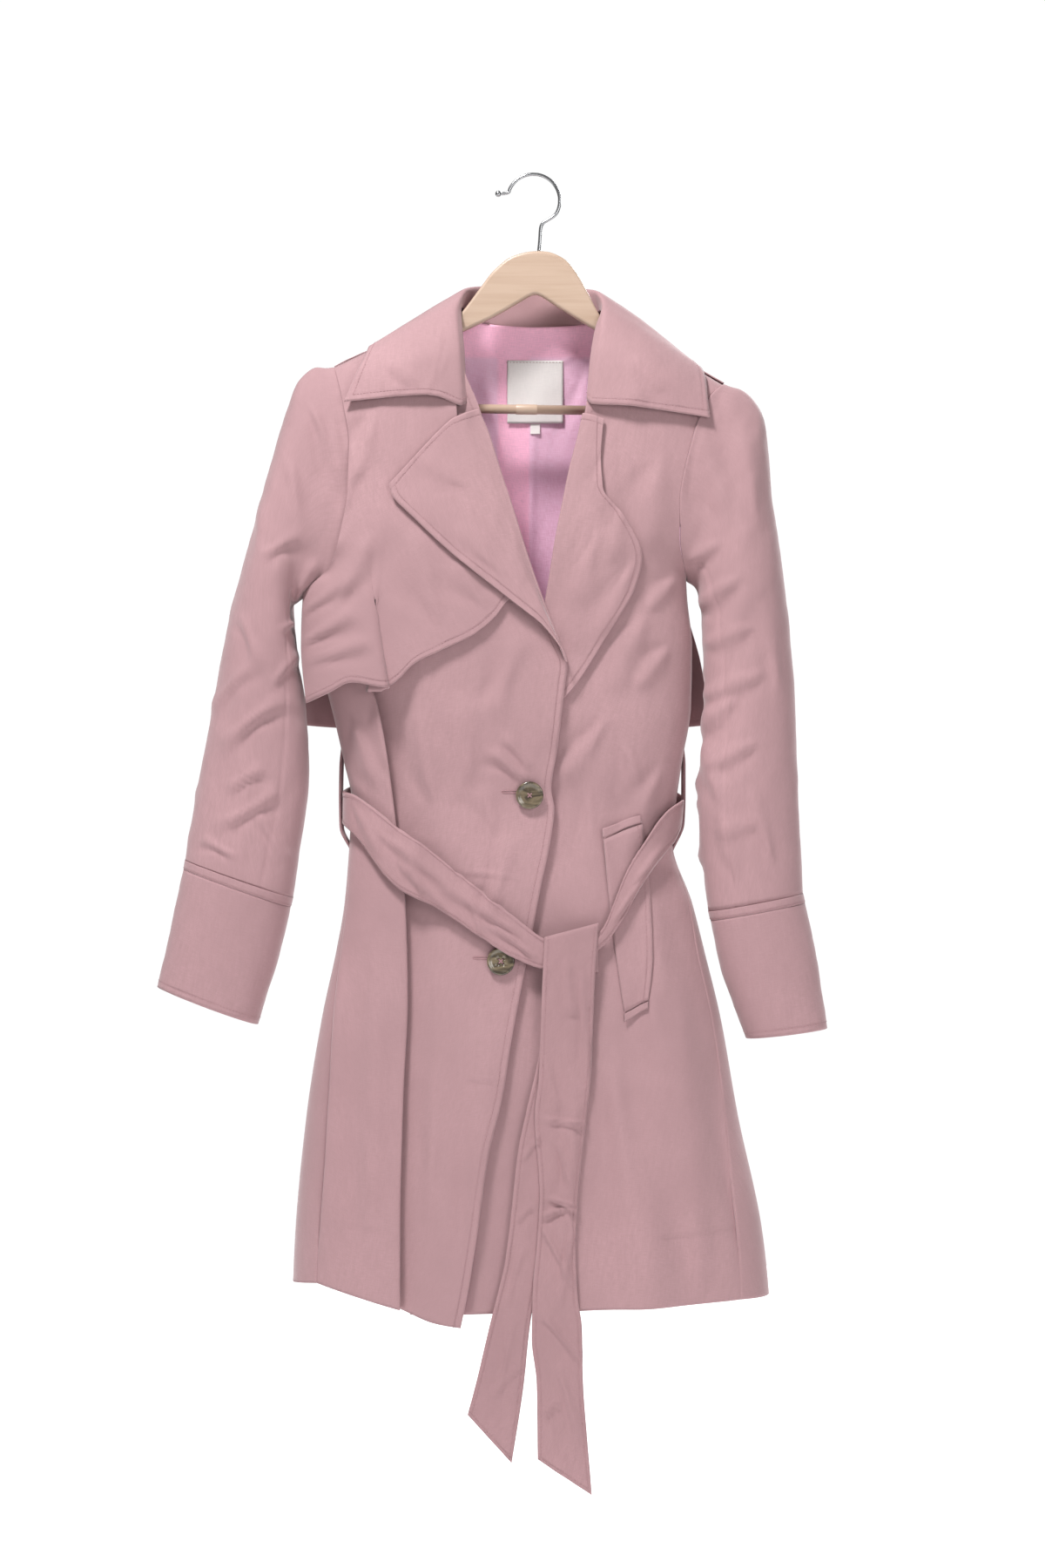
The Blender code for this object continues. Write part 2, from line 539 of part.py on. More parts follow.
def back_net(armhole, side_table, side_end, middle_end, rows, columns):
    """Angles and heights of half of the back, from the centre seam out to the armhole and side seam."""
    t_up, t_low = shoulder_rows(rows[0]), np.linspace(0, 1, rows[1] + 1)[1:]
    upper = even(armhole, t_up)
    z_low = armhole[-1][1] + (side_end - armhole[-1][1]) * t_low
    turn = np.concatenate([angle_at(upper[:, 0], upper[:, 1], 1), by_height(side_table, z_low)[:, 0]])
    z_out = np.concatenate([upper[:, 1], z_low])
    z_mid = np.concatenate([NECK_BACK + (YOKE_LOW - NECK_BACK) * t_up,
                            YOKE_LOW + (middle_end - YOKE_LOW) * t_low])
    s = np.linspace(0, 1, columns)
    line = NECK_BACK + (z_out[0] - NECK_BACK) * s
    top = line
    for _ in range(3):
        top = back_top(around(90 + (turn[0] - 90) * s, top)[:, 0])
    bump = (top - line) * ease(1 - (NECK_BACK - z_mid) / NECK_FADE)[:, None]
    z = z_mid[:, None] * (1 - s) + z_out[:, None] * s + bump
    return 90 + (turn[:, None] - 90) * s, z


def back_grid(armhole, side_table, side_end, columns=12):
    """Half of the back, from the centre seam round to the side seam on the front of the hips."""
    return around(*back_net(armhole, side_table, side_end, BACK_HEM, PANEL_ROWS, columns))


# ---- sleeves

def armhole_ring(front, back, angle):
    """Point of an armhole at an angle: 0 at the shoulder point, 180 at the underarm, front first."""
    share = (1 - np.cos(np.radians(angle))) / 2
    ahead = even(front, share)
    behind = even(back, share)
    near = np.stack([ahead[..., 0], skin(ahead[..., 0], ahead[..., 1], -1), ahead[..., 1]], axis=-1)
    far = np.stack([behind[..., 0], skin(behind[..., 0], behind[..., 1], 1), behind[..., 1]], axis=-1)
    return np.where((np.sin(np.radians(angle)) >= 0)[..., None], near, far)


def sleeve_points(table, armhole, armhole_back, down, angle):
    """Points of a sleeve at a share of its length and an angle round it."""
    row = even(table, down)
    share = (1 - np.cos(np.radians(angle))) / 2
    sine = np.sin(np.radians(angle))
    x = row[..., 0] + (row[..., 2] - row[..., 0]) * share
    z = row[..., 1] + (row[..., 3] - row[..., 1]) * share
    y = row[..., 5] - row[..., 4] * np.sign(sine) * np.abs(sine) ** 0.85
    plain = np.stack([x, y, z], axis=-1)
    start = np.asarray(table[0], float)
    chord_x = start[0] + (start[2] - start[0]) * share
    chord_z = start[1] + (start[3] - start[1]) * share
    ring = armhole_ring(armhole, armhole_back, angle)
    keep = row[..., 6:7]
    bowed = plain + keep * (ring - np.stack([chord_x, plain[..., 1], chord_z], axis=-1))
    return bowed


def sleeve_grids(table, armhole, armhole_back, rows=15):
    """Upper sleeve and under sleeve, which meet at two seams."""
    down = np.concatenate([np.linspace(0, 0.4, 8), np.linspace(0.4, 1, rows - 7)[1:]])
    seams = np.asarray(SLEEVE_SEAMS, float)
    ahead, behind = smooth(seams[:, 0], seams[:, 1:], down).T
    grids = []
    for start, end, count in ((behind - 360, ahead, 14), (ahead, behind, 7)):
        angle = start[:, None] + (end - start)[:, None] * np.linspace(0, 1, count)
        grid = sleeve_points(table, armhole, armhole_back, down[:, None] + 0 * angle, angle)
        grid = stand_back(grid, "first_row", by=SLEEVE_SEAM)
        grids.append(stand_back(grid, "last_row", "first_column", "last_column"))
    return grids


def tube_grid(rings, columns=22, swell=0.0):
    """Closed rings given by outer and inner outline, half depth and middle."""
    angle = np.linspace(0, 360, columns, endpoint=False)
    rings = np.asarray(rings, float)[:, None, :]
    share = (1 - np.cos(np.radians(angle))) / 2
    sine = np.sin(np.radians(angle))
    x = rings[..., 0] + (rings[..., 2] - rings[..., 0]) * share
    z = rings[..., 1] + (rings[..., 3] - rings[..., 1]) * share
    y = rings[..., 5] - (rings[..., 4] + swell) * np.sign(sine) * np.abs(sine) ** 0.85
    return np.stack([x, y, z], axis=-1)


def band_rings(sleeve, cuff):
    """The narrow band between sleeve and cuff."""
    top, low = np.asarray(sleeve[-1][:6], float), np.asarray(cuff[0], float)
    gap = low - top
    return np.stack([top + 0.02 * gap, low - 0.06 * gap])


# ---- what lies on the panels

def lapel_grid(guides, rows, columns, lifts, behind):
    """A lapel: from its roll line over the front, lifted more towards its edge."""
    across = even(np.asarray(guides, float).swapaxes(0, 1), np.linspace(0, 1, columns)).swapaxes(0, 1)
    net = even(across, np.linspace(0, 1, rows))
    x, z = net[..., 0], net[..., 1]
    y = skin(x, z, -1)
    if behind:
        y = y + underlap(x, z)
    grid = np.stack([x, y, z], axis=-1)
    lift = smooth([0, 0.3, 1], lifts, np.linspace(0, 1, columns))
    grid[..., 1] -= lift
    return grid


def flap_grid():
    """Storm flap over the right chest, with a fold of its own."""
    table = even(FLAP, np.concatenate([[0, 0.03], np.linspace(0.09, 1, 11)]))
    x, z, depth = folded_rows(table[:, :2], table[:, 2:], FLAP_FOLD, FLAP_PITCH, 7, 6, FLAP_FADE)
    centre = slice(0, 8)
    hem_c = smooth([-row[0] for row in FLAP_HEM], [row[1] for row in FLAP_HEM], -x[-1, centre])
    hem_s = smooth([-row[0] for row in FLAP_SIDE_HEM], [row[1] for row in FLAP_SIDE_HEM], -x[-1, 15:])
    hem = np.concatenate([hem_c, np.linspace(hem_c[-1], hem_s[0], 9)[1:-1], hem_s])
    z += (hem - z[-1]) * ease(np.linspace(-0.4, 1, len(z)))[:, None]
    base = np.stack([x, skin(x, z, -1, CAPE), z], axis=-1)
    edge, _, share = by_height(FLAP_FOLD, table[:, 3])[:, :, None].swapaxes(0, 1)
    near = np.where(x > edge, ease((FLAP_FADE + edge - x) / FLAP_FADE), ease((x - table[:, 2:3]) / 45 + 0.35))
    near[:, 7:16] = 1
    base[..., 1] += depth - 2 * FLAP_PITCH * share * near
    down = np.linspace(0, 1, len(z))[:, None]
    return lifted(base, 1.9 + (FLAP_LIFT - 1.9) * ease(down * 5) + 0 * x, (0, -1, 0))


def cape_grid():
    """Storm cape over the upper back, from armhole to armhole, made from the back's points."""
    halves = []
    for armhole, hang in ((RIGHT_ARMHOLE_BACK, CAPE_RIGHT_SIDE), (LEFT_ARMHOLE_BACK, CAPE_LEFT_SIDE)):
        turn, z = back_net(armhole, hang, CAPE_HEM, CAPE_HEM - 8, (PANEL_ROWS[0], 5), 12)
        end = np.clip(turn[:, -1:], CAPE_LEFT_SIDE[0][1], CAPE_RIGHT_SIDE[0][1])
        halves.append((90 + (turn - 90) * (end - 90) / (turn[:, -1:] - 90), z))
    angle = np.concatenate([halves[0][0][:, ::-1], halves[1][0][:, 1:]], axis=1)
    z = np.concatenate([halves[0][1][:, ::-1], halves[1][1][:, 1:]], axis=1)
    down = np.linspace(0, 1, len(z))[:, None]
    return lifted(around(angle, z, CAPE), CAPE_LIFT * (0.57 + 0.43 * ease(2.5 * down)) + 0 * z, (0, 1, 0))


def strip_grid(table, columns, rows, lift):
    """A strip on the front: table rows are upper and lower edge, across and height."""
    table = even(table, np.linspace(0, 1, columns))
    t = np.linspace(0, 1, rows)[:, None]
    x = table[:, 0] * (1 - t) + table[:, 2] * t
    z = table[:, 1] * (1 - t) + table[:, 3] * t
    return lifted(np.stack([x, skin(x, z, -1) - soft_fold(x, z), z], axis=-1), lift + 0 * x, (0, -1, 0))


def belt_back_grid():
    """The belt round the back, from side to side."""
    table = np.asarray(BELT_BACK, float)
    angle = np.linspace(180, 0, 25)
    top, low = smooth(180 - table[:, 0], table[:, 1:], 180 - angle).T
    t = np.linspace(0, 1, 3)[:, None]
    z = top * (1 - t) + low * t
    grid = around(angle + 0 * z, z)
    sideways = np.abs(np.cos(np.radians(angle))) ** 4
    return lifted(grid, BELT_BACK_LIFT + (BELT_LIFT - BELT_BACK_LIFT) * sideways + 0 * z, (0, 1, 0))


def tail_grid(table, rows, columns=5):
    """A belt tail hanging in front of the coat, straight down where it hangs below the hem."""
    table = even(table, np.linspace(0, 1, rows))
    s = np.linspace(0, 1, columns)
    x = table[:, :1] * (1 - s) + table[:, 2:3] * s
    z = table[:, 1:2] * (1 - s) + table[:, 3:4] * s
    y = skin(x, np.maximum(z, HEM_LINE), -1) - table[:, 4:5]
    return np.stack([x, y, z], axis=-1)


def tail_over(grid):
    """The long tail's start: behind the belt, up and over its top edge, before the hanging part."""
    top = grid[0]
    rows = []
    down = TAIL_BACK_END - top[:, 2]
    for share in (1.0, 0.5):
        rows.append(top + np.stack([0 * down, 0 * down + 2 * TAIL_TURN, down * share], axis=-1))
    for angle in np.radians(np.linspace(0, 180, 7)[:-1]):
        rows.append(top + np.array([0, TAIL_TURN * (1 + math.cos(angle)), TAIL_TURN * math.sin(angle)]))
    return np.concatenate([np.array(rows), grid])


def patch_inside(left, right, top, low, depth, rows=3, columns=4):
    """A rectangle lying on the inside of the back."""
    x = np.linspace(left, right, columns)[None, :] + np.zeros((rows, 1))
    z = np.linspace(top, low, rows)[:, None] + np.zeros((1, columns))
    return np.stack([x, skin(x, z, 1) - depth, z], axis=-1)


def lining_grid(rows=7, columns=9):
    """The lining of the back where the open neck shows it."""
    table = even(LINING, np.linspace(0, 1, rows))
    s = np.linspace(0, 1, columns)
    x = table[:, :1] * (1 - s) + table[:, 1:2] * s
    top = smooth([row[0] for row in LINING_TOP], [row[1] for row in LINING_TOP], x[0])
    z = table[:, 2:3] + (top - table[0, 2]) * (1 - np.linspace(0, 1, rows))[:, None]
    depth = LINING_DEPTH + 1.4 * (1 - np.linspace(0, 1, rows)[:, None]) ** 2 + 0 * x
    return np.stack([x, skin(x, z, 1) - depth, z], axis=-1)


def loop_grid(route, width):
    """A belt loop standing off the side seam."""
    path = even(route, np.linspace(0, 1, 9))
    y = np.array([1.5 - width / 2, 1.5 + width / 2])
    grid = np.zeros((len(path), 2, 3))
    grid[..., 0], grid[..., 2] = path[:, :1], path[:, 1:]
    grid[..., 1] = y
    return grid


# ---- hard pieces

def make_hook(home):
    """The wire hook: an open ring, a bend back to the middle and a stem, with a ball on its tip."""
    centre_x, centre_z = HOOK_CENTRE
    tip = [(-36.5, -17.0), (-33.0, -16.6)]
    ring = [(centre_x + HOOK_RADIUS * math.cos(a), centre_z + HOOK_RADIUS * math.sin(a))
            for a in np.radians(np.linspace(162, -26, 20))]
    stem = [(17.0, -40.0), (11.0, -43.8), (6.2, -47.0), (3.9, -50.5), (3.2, -55.0), (2.6, -65.0),
            (1.6, -75.7)]
    wire = bpy.data.curves.new("hook", "CURVE")
    wire.dimensions = "3D"
    wire.bevel_depth = WIRE_RADIUS * MM
    wire.bevel_resolution = 2
    wire.use_fill_caps = True
    spline = wire.splines.new("POLY")
    points = tip + ring + stem
    spline.points.add(len(points) - 1)
    for point, (x, z) in zip(spline.points, points):
        point.co = (x * MM, 0, z * MM, 1)
    place("hook", wire, "steel", home)
    mesh = bpy.data.meshes.new("hook_tip")
    body = bmesh.new()
    bmesh.ops.create_uvsphere(body, u_segments=12, v_segments=8, radius=HOOK_TIP_RADIUS * MM)
    for vert in body.verts:
        vert.co.x += (tip[0][0] - HOOK_TIP_RADIUS - 0.3) * MM
        vert.co.z += tip[0][1] * MM
    body.to_mesh(mesh)
    body.free()
    mesh.shade_smooth()
    place("hook_tip", mesh, "steel", home)


def make_hanger(home):
    """The wooden hanger: an arched board and a round bar with a collar round its joint."""
    outline = bpy.data.curves.new("hanger_outline", "CURVE")
    outline.dimensions = "2D"
    outline.fill_mode = "BOTH"
    outline.extrude = (HANGER_THICK / 2 - HANGER_EDGE) * MM
    outline.bevel_depth = HANGER_EDGE * MM
    outline.bevel_resolution = 1
    outline.offset = -HANGER_EDGE * MM
    points = HANGER_TOP + HANGER_UNDER
    spline = outline.splines.new("POLY")
    spline.points.add(len(points) - 1)
    spline.use_cyclic_u = True
    for point, (x, z) in zip(spline.points, points):
        point.co = (x * MM, z * MM, 0, 1)
    board = place("hanger_board", outline, "wood", home)
    board.rotation_euler = (math.pi / 2, 0, 0)

    (start_x, start_z), (end_x, end_z) = BAR_ENDS
    length = math.hypot(end_x - start_x, end_z - start_z)
    tilt = math.atan2(end_z - start_z, end_x - start_x)
    profile_end = length / 2
    collar_middle, collar_long, collar_radius = BAR_COLLAR
    collar_at = collar_middle - (start_x + end_x) / 2
    collar_start, collar_end = collar_at - collar_long / 2, collar_at + collar_long / 2
    steps = [(-profile_end, 0.0), (-profile_end, BAR_RADIUS), (collar_start, BAR_RADIUS),
             (collar_start + 0.6, collar_radius), (collar_end - 0.6, collar_radius),
             (collar_end, BAR_RADIUS), (profile_end, BAR_RADIUS), (profile_end, 0.0)]
    turned("hanger_bar", [(radius, along) for along, radius in reversed(steps)], "wood", home, 14,
           ((start_x + end_x) / 2, 0, (start_z + end_z) / 2), (0, math.pi / 2 - tilt, 0))


def turned(name, profile, finish_name, home, steps, at, turn):
    """A profile of radius and height, listed from the top down its outer side, turned round its axis."""
    mesh = bpy.data.meshes.new(name)
    mesh.from_pydata([(radius * MM, 0, height * MM) for radius, height in profile],
                     [(i, i + 1) for i in range(len(profile) - 1)], [])
    made = place(name, mesh, finish_name, home)
    screw = made.modifiers.new("turn", "SCREW")
    screw.steps = screw.render_steps = steps
    screw.use_merge_vertices = True
    screw.merge_threshold = 0.00001
    made.location = [value * MM for value in at]
    made.rotation_euler = turn
    return made


def make_buttons(home, cutters):
    """Two dished buttons with four holes, each standing on the cloth behind it."""
    r, t = BUTTON_RADIUS, BUTTON_THICK
    profile = [(0, t - 1.3), (r - BUTTON_RIM - 2.2, t - 1.3), (r - BUTTON_RIM, t), (r - 0.7, t - 0.3),
               (r, t - 1.6), (r - 1.5, 0.5), (r - 4.0, 0), (0, 0)]
    for name, x, z, lift in BUTTONS:
        step = 4.0
        slope_x = (skin(x + step, z, -1) - skin(x - step, z, -1)) / (2 * step)
        slope_z = (skin(x, z + step, -1) - skin(x, z - step, -1)) / (2 * step)
        at = (x, float(skin(x, z, -1)) - CLOTH / 2 - lift, z)
        turn = (math.pi / 2 + math.atan(float(slope_z)), 0, math.atan(float(slope_x)))
        made = turned("button_" + name, profile, "horn", home, 20, at, turn)
        for corner in range(4):
            angle = math.radians(45 + 90 * corner)
            hole_mesh = bpy.data.meshes.new("hole")
            body = bmesh.new()
            bmesh.ops.create_cone(body, cap_ends=True, segments=6, radius1=BUTTON_HOLE_RADIUS * MM,
                                  radius2=BUTTON_HOLE_RADIUS * MM, depth=3 * t * MM)
            body.to_mesh(hole_mesh)
            body.free()
            hole = bpy.data.objects.new(f"cut_{name}_{corner}", hole_mesh)
            cutters.objects.link(hole)
            hole.parent = made
            ring = BUTTON_HOLE_CIRCLE * MM
            hole.location = (ring * math.cos(angle), ring * math.sin(angle), t / 2 * MM)
            hole.hide_render = True
            hole.display_type = "WIRE"
            cut = made.modifiers.new(f"hole_{corner}", "BOOLEAN")
            cut.operation = "DIFFERENCE"
            cut.object = hole


# ---- assembly

def make_panels(home):
    """Fronts and backs."""
    sheet("front_right", stand_back(right_front_grid(), "first_row", "last_column"), "cloth", home)
    sheet("front_left", stand_back(left_front_grid(), "first_row", "last_column"), "cloth", home)
    # its columns run the cape's way, so the faces of both split along the same diagonal and stay apart
    right = back_grid(RIGHT_ARMHOLE_BACK, RIGHT_SIDE, SIDE_HEMS[0])[:, ::-1]
    left = back_grid(LEFT_ARMHOLE_BACK, LEFT_SIDE, SIDE_HEMS[1])
    sheet("back_right", stand_back(right, "first_row", "first_column", "last_column"), "cloth", home)
    sheet("back_left", stand_back(left, "first_row", "first_column", "last_column"), "cloth", home)


def make_sleeves(home):
    """Sleeves of two pieces each, their bands and cuffs."""
    for side, table, armhole, armhole_back, cuff in (
            ("right", RIGHT_SLEEVE, RIGHT_ARMHOLE, RIGHT_ARMHOLE_BACK, RIGHT_CUFF),
            ("left", LEFT_SLEEVE, LEFT_ARMHOLE, LEFT_ARMHOLE_BACK, LEFT_CUFF)):
        upper, under = sleeve_grids(table, armhole, armhole_back)
        sheet(f"sleeve_{side}_upper", upper, "cloth", home)
        sheet(f"sleeve_{side}_under", under, "cloth", home)
        sheet(f"cuff_{side}_band", tube_grid(band_rings(table, cuff), swell=0.6), "cloth", home, closed=True)
        rings = even(cuff, np.linspace(0, 1, 5))
        sheet(f"cuff_{side}", tube_grid(rings, swell=0.3), "cloth", home, closed=True)


def make_collar(home):
    """Collar: the stand inside the neck and the fall that rolls over it."""
    sections = np.asarray(COLLAR, float)
    dense = even(sections, np.linspace(0, 1, 25))
    stand = even(dense[3:-3, :2].swapaxes(0, 1), np.linspace(0.03, 0.87, 3))
    fall = even(dense[:, 1:].swapaxes(0, 1), np.linspace(0, 1, 5))
    sheet("collar_stand", stand, "cloth", home)
    sheet("collar_fall", fall, "cloth", home)


def make_overlays(home):
    """Lapels, storm flap, back cape and pocket welt."""
    sheet("lapel_right", lapel_grid(RIGHT_LAPEL, 16, 6, (2.0, 8.5, 10.5), behind=False), "cloth", home)
    sheet("lapel_left", lapel_grid(LEFT_LAPEL, 17, 6, (2.2, 3.6, 4.5), behind=True), "cloth", home)
    sheet("storm_flap", stand_back(flap_grid(), "last_column", by=1.5), "cloth", home)
    sheet("back_cape", stand_back(cape_grid(), "first_column", "last_column", by=1.5), "cloth", home)
    sheet("pocket_welt", strip_grid(WELT, 6, 4, WELT_LIFT), "cloth", home)
    for name, edges in WELT_TABS:
        sheet(f"pocket_tab_{name}", strip_grid(edges, 2, 4, WELT_LIFT), "cloth", home)


def make_belt(home):
    """Belt, its folded-over tails and the two side loops."""
    right = stand_back(strip_grid(BELT_RIGHT, 19, 3, BELT_LIFT), "first_column")
    sheet("belt_right", right, "cloth_belt", home)
    sheet("belt_left", stand_back(strip_grid(BELT_LEFT, 13, 3, BELT_LIFT), "last_column"), "cloth_belt", home)
    sheet("belt_back", stand_back(belt_back_grid(), "first_column", "last_column"), "cloth_belt", home)
    sheet("belt_tail_long", tail_over(tail_grid(TAIL_LONG, 18)), "cloth_belt", home)
    sheet("belt_tail_short", tail_grid(TAIL_SHORT, 14), "cloth_belt", home)
    for side, route in LOOPS:
        sheet(f"belt_loop_{side}", loop_grid(route, LOOP_WIDTH), "cloth_belt", home)


def make_inside(home):
    """Lining of the back in the neck, its label and size tag."""
    sheet("lining_back", lining_grid(), "lining", home, thick=1.0)
    sheet("neck_label", patch_inside(*LABEL, LABEL_DEPTH), "label", home, thick=0.8)
    sheet("size_tag", patch_inside(*SIZE_TAG, LABEL_DEPTH, 2, 2), "label", home, thick=0.8)


def main():
    """Build every piece of the coat and its hanger."""
    clear_scene()
    home = collection("trench_coat")
    cutters = collection("cutters")
    make_hook(home)
    make_hanger(home)
    make_panels(home)
    make_sleeves(home)
    make_collar(home)
    make_overlays(home)
    make_belt(home)
    make_inside(home)
    make_buttons(home, cutters)
    bpy.context.view_layer.update()


main()
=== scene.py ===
"""Looks of a trench coat hanging on a wooden hanger.

Tables and surface maths are in millimetres, meshes in metres.  +X is to the right as seen from the front, the
front faces -Y, +Z is up, and the origin is the inside top of the hanger's hook.  "left" and "right" in a name
are the wearer's, so the right front, which laps over the other, is on the -X side.
"""

from __future__ import annotations

import logging
import math
from dataclasses import dataclass, field
from enum import Enum
from typing import ClassVar

import bmesh
import bpy
import numpy as np
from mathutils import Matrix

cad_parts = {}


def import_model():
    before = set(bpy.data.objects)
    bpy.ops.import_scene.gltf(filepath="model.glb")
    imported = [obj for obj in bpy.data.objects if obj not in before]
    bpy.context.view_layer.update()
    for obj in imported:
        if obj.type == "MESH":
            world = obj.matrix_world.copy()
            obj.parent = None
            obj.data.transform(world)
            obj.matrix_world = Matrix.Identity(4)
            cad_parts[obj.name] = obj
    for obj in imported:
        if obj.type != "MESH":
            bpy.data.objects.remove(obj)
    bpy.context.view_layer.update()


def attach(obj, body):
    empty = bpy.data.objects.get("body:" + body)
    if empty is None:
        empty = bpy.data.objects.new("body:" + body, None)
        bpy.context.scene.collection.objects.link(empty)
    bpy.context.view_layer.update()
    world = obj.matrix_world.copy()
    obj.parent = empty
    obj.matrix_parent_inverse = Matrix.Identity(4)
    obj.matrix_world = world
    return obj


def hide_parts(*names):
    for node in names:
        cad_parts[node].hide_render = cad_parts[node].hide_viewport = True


MM = 0.001
LOG = logging.getLogger("trench_coat")
Array = np.ndarray
Rows = tuple[tuple[float, ...], ...]
Tree = bpy.types.NodeTree
Socket = bpy.types.NodeSocket
Value = Socket | float


# ---- curves

def smooth(keys: Array, values: Array, at: Array) -> Array:
    """Cubic through values at rising keys that never overshoots them.

    Args:
        keys: rising positions of the values.
        values: one value, or one row of values, for each key.
        at: positions to read.

    Returns:
        The values at those positions.
    """
    keys, values, at = np.asarray(keys, float), np.asarray(values, float), np.asarray(at, float)
    slope = np.diff(values, axis=0) / np.diff(keys).reshape((-1,) + (1,) * (values.ndim - 1))
    tangent = np.zeros_like(values)
    tangent[0], tangent[-1] = slope[0], slope[-1]
    product, total = slope[:-1] * slope[1:], slope[:-1] + slope[1:]
    tangent[1:-1] = np.where(product > 0, 2 * product / np.where(product > 0, total, 1), 0)
    at = np.clip(at, keys[0], keys[-1])
    i = np.clip(np.searchsorted(keys, at, side="right") - 1, 0, len(keys) - 2)
    tail = at.shape + (1,) * (values.ndim - 1)
    h = (keys[i + 1] - keys[i]).reshape(tail)
    t = ((at - keys[i]) / (keys[i + 1] - keys[i])).reshape(tail)
    return (values[i] * (1 + 2 * t) * (1 - t) ** 2 + tangent[i] * h * t * (1 - t) ** 2
            + values[i + 1] * t * t * (3 - 2 * t) - tangent[i + 1] * h * t * t * (1 - t))


def by_height(table: Rows, z: Array) -> Array:
    """Other columns of a table whose first column falls, read at heights or places of the first."""
    rows = np.asarray(table, float)
    return smooth(-rows[:, 0], rows[:, 1:], -np.asarray(z, float))


def even(table: Rows | Array, share: Array) -> Array:
    """A table's evenly spaced rows read between them.

    Args:
        table: rows of numbers or points.
        share: places from 0, the first row, to 1, the last.

    Returns:
        The rows at those places.
    """
    rows = np.asarray(table, float)
    return smooth(np.linspace(0, 1, len(rows)), rows, share)


def by_place(table: Rows, x: Array) -> Array:
    """Second column of a table whose first column rises, read at places of the first."""
    rows = np.asarray(table, float)
    return smooth(rows[:, 0], rows[:, 1], x)


def run_along(line: Array) -> Array:
    """Distance of each point of a line from its first point, measured along the line."""
    return np.concatenate([[0], np.cumsum(np.linalg.norm(np.diff(line, axis=0), axis=1))])


def ease(t: Array) -> Array:
    """0 below 0, 1 above 1, and a soft step between."""
    t = np.clip(t, 0, 1)
    return t * t * (3 - 2 * t)


def normals(grid: Array) -> Array:
    """Unit normal at each point of a grid of points."""
    cross = np.cross(np.gradient(grid, axis=0), np.gradient(grid, axis=1))
    return cross / np.maximum(np.linalg.norm(cross, axis=-1, keepdims=True), 1e-9)


def facing(grid: Array, outwards: tuple[float, float, float]) -> Array:
    """Normals of a grid, turned so that the one in its middle points outwards.

    Args:
        grid: points in rows and columns.
        outwards: a rough direction out of the coat.

    Returns:
        One unit normal for each point.
    """
    way = normals(grid)
    middle = way[grid.shape[0] // 2, grid.shape[1] // 2]
    return -way if np.dot(middle, outwards) < 0 else way


def relaxed(grid: Array, times: int) -> Array:
    """A grid whose inner rows are drawn half way to their neighbours' middle, some times over.

    Args:
        grid: points in rows and columns.
        times: how often the rows are drawn in.

    Returns:
        The softened grid, with its first and last row unchanged.
    """
    grid = grid.copy()
    for _ in range(times):
        grid[1:-1] += 0.5 * ((grid[:-2] + grid[2:]) / 2 - grid[1:-1])
    return grid


@dataclass(frozen=True)
class Crease:
    """One soft crease of hanging cloth: a ridge with a shallower hollow beside it."""

    x0: float
    z0: float
    x1: float
    z1: float
    width: float
    height: float
    bow: float = 0.0

    def swell(self, x: Array, z: Array) -> Array:
        """Height of the crease over points of the front or back view.

        Args:
            x: positions across.
            z: heights.

        Returns:
            How far each point stands out, negative in the hollow.
        """
        dx, dz = self.x1 - self.x0, self.z1 - self.z0
        length = math.hypot(dx, dz)
        along = ((x - self.x0) * dx + (z - self.z0) * dz) / length ** 2
        off = ((x - self.x0) * dz - (z - self.z0) * dx) / length
        off = off + self.bow * np.sin(math.pi * np.clip(along, 0, 1))
        wide = self.width * (0.8 + 0.35 * np.sin(2.3 + 5.1 * along + 0.02 * self.x0))
        ends = ease(3.2 * (along + 0.04)) * ease(3.2 * (1.04 - along))
        ridge = np.exp(-(off / wide) ** 2) - 0.5 * np.exp(-((off - 1.7 * wide) / (1.2 * wide)) ** 2)
        return self.height * ends * ridge


@dataclass(frozen=True)
class Rumple:
    """The fine unevenness of worn cloth, as a sum of waves with fixed phases."""

    height: float = 0.5
    length: float = 70.0
    seed: int = 1
    stretch: float = 2.2

    def swell(self, x: Array, z: Array) -> Array:
        """Height of the unevenness over points.

        Args:
            x: positions across the cloth.
            z: positions down the cloth.

        Returns:
            How far each point stands out.
        """
        dice = np.random.RandomState(self.seed)
        total = np.zeros_like(x)
        for step in range(9):
            turn = dice.uniform(-1.1, 1.1)
            size = self.length * 0.82 ** step
            across, down = math.cos(turn), math.sin(turn) / self.stretch
            phase, bend = dice.uniform(0, 6.28, 2)
            wave = np.sin(2 * math.pi * (x * across + z * down) / size + phase
                          + 1.3 * np.sin(2 * math.pi * z / (3.1 * size) + bend))
            total = total + wave * 0.8 ** step
        return self.height * total / 2.2


@dataclass(frozen=True)
class Drape:
    """All the creases and unevenness of one side of the coat or of one piece."""

    creases: tuple[Crease, ...] = ()
    rumples: tuple[Rumple, ...] = ()

    def swell(self, x: Array, z: Array) -> Array:
        """How far the cloth stands out over points of the view that the drape is drawn in.

        Args:
            x: positions across.
            z: heights.

        Returns:
            How far each point stands out.
        """
        total = np.zeros_like(np.asarray(x, float) + np.asarray(z, float))
        for part in self.creases + self.rumples:
            total = total + part.swell(x, z)
        return total


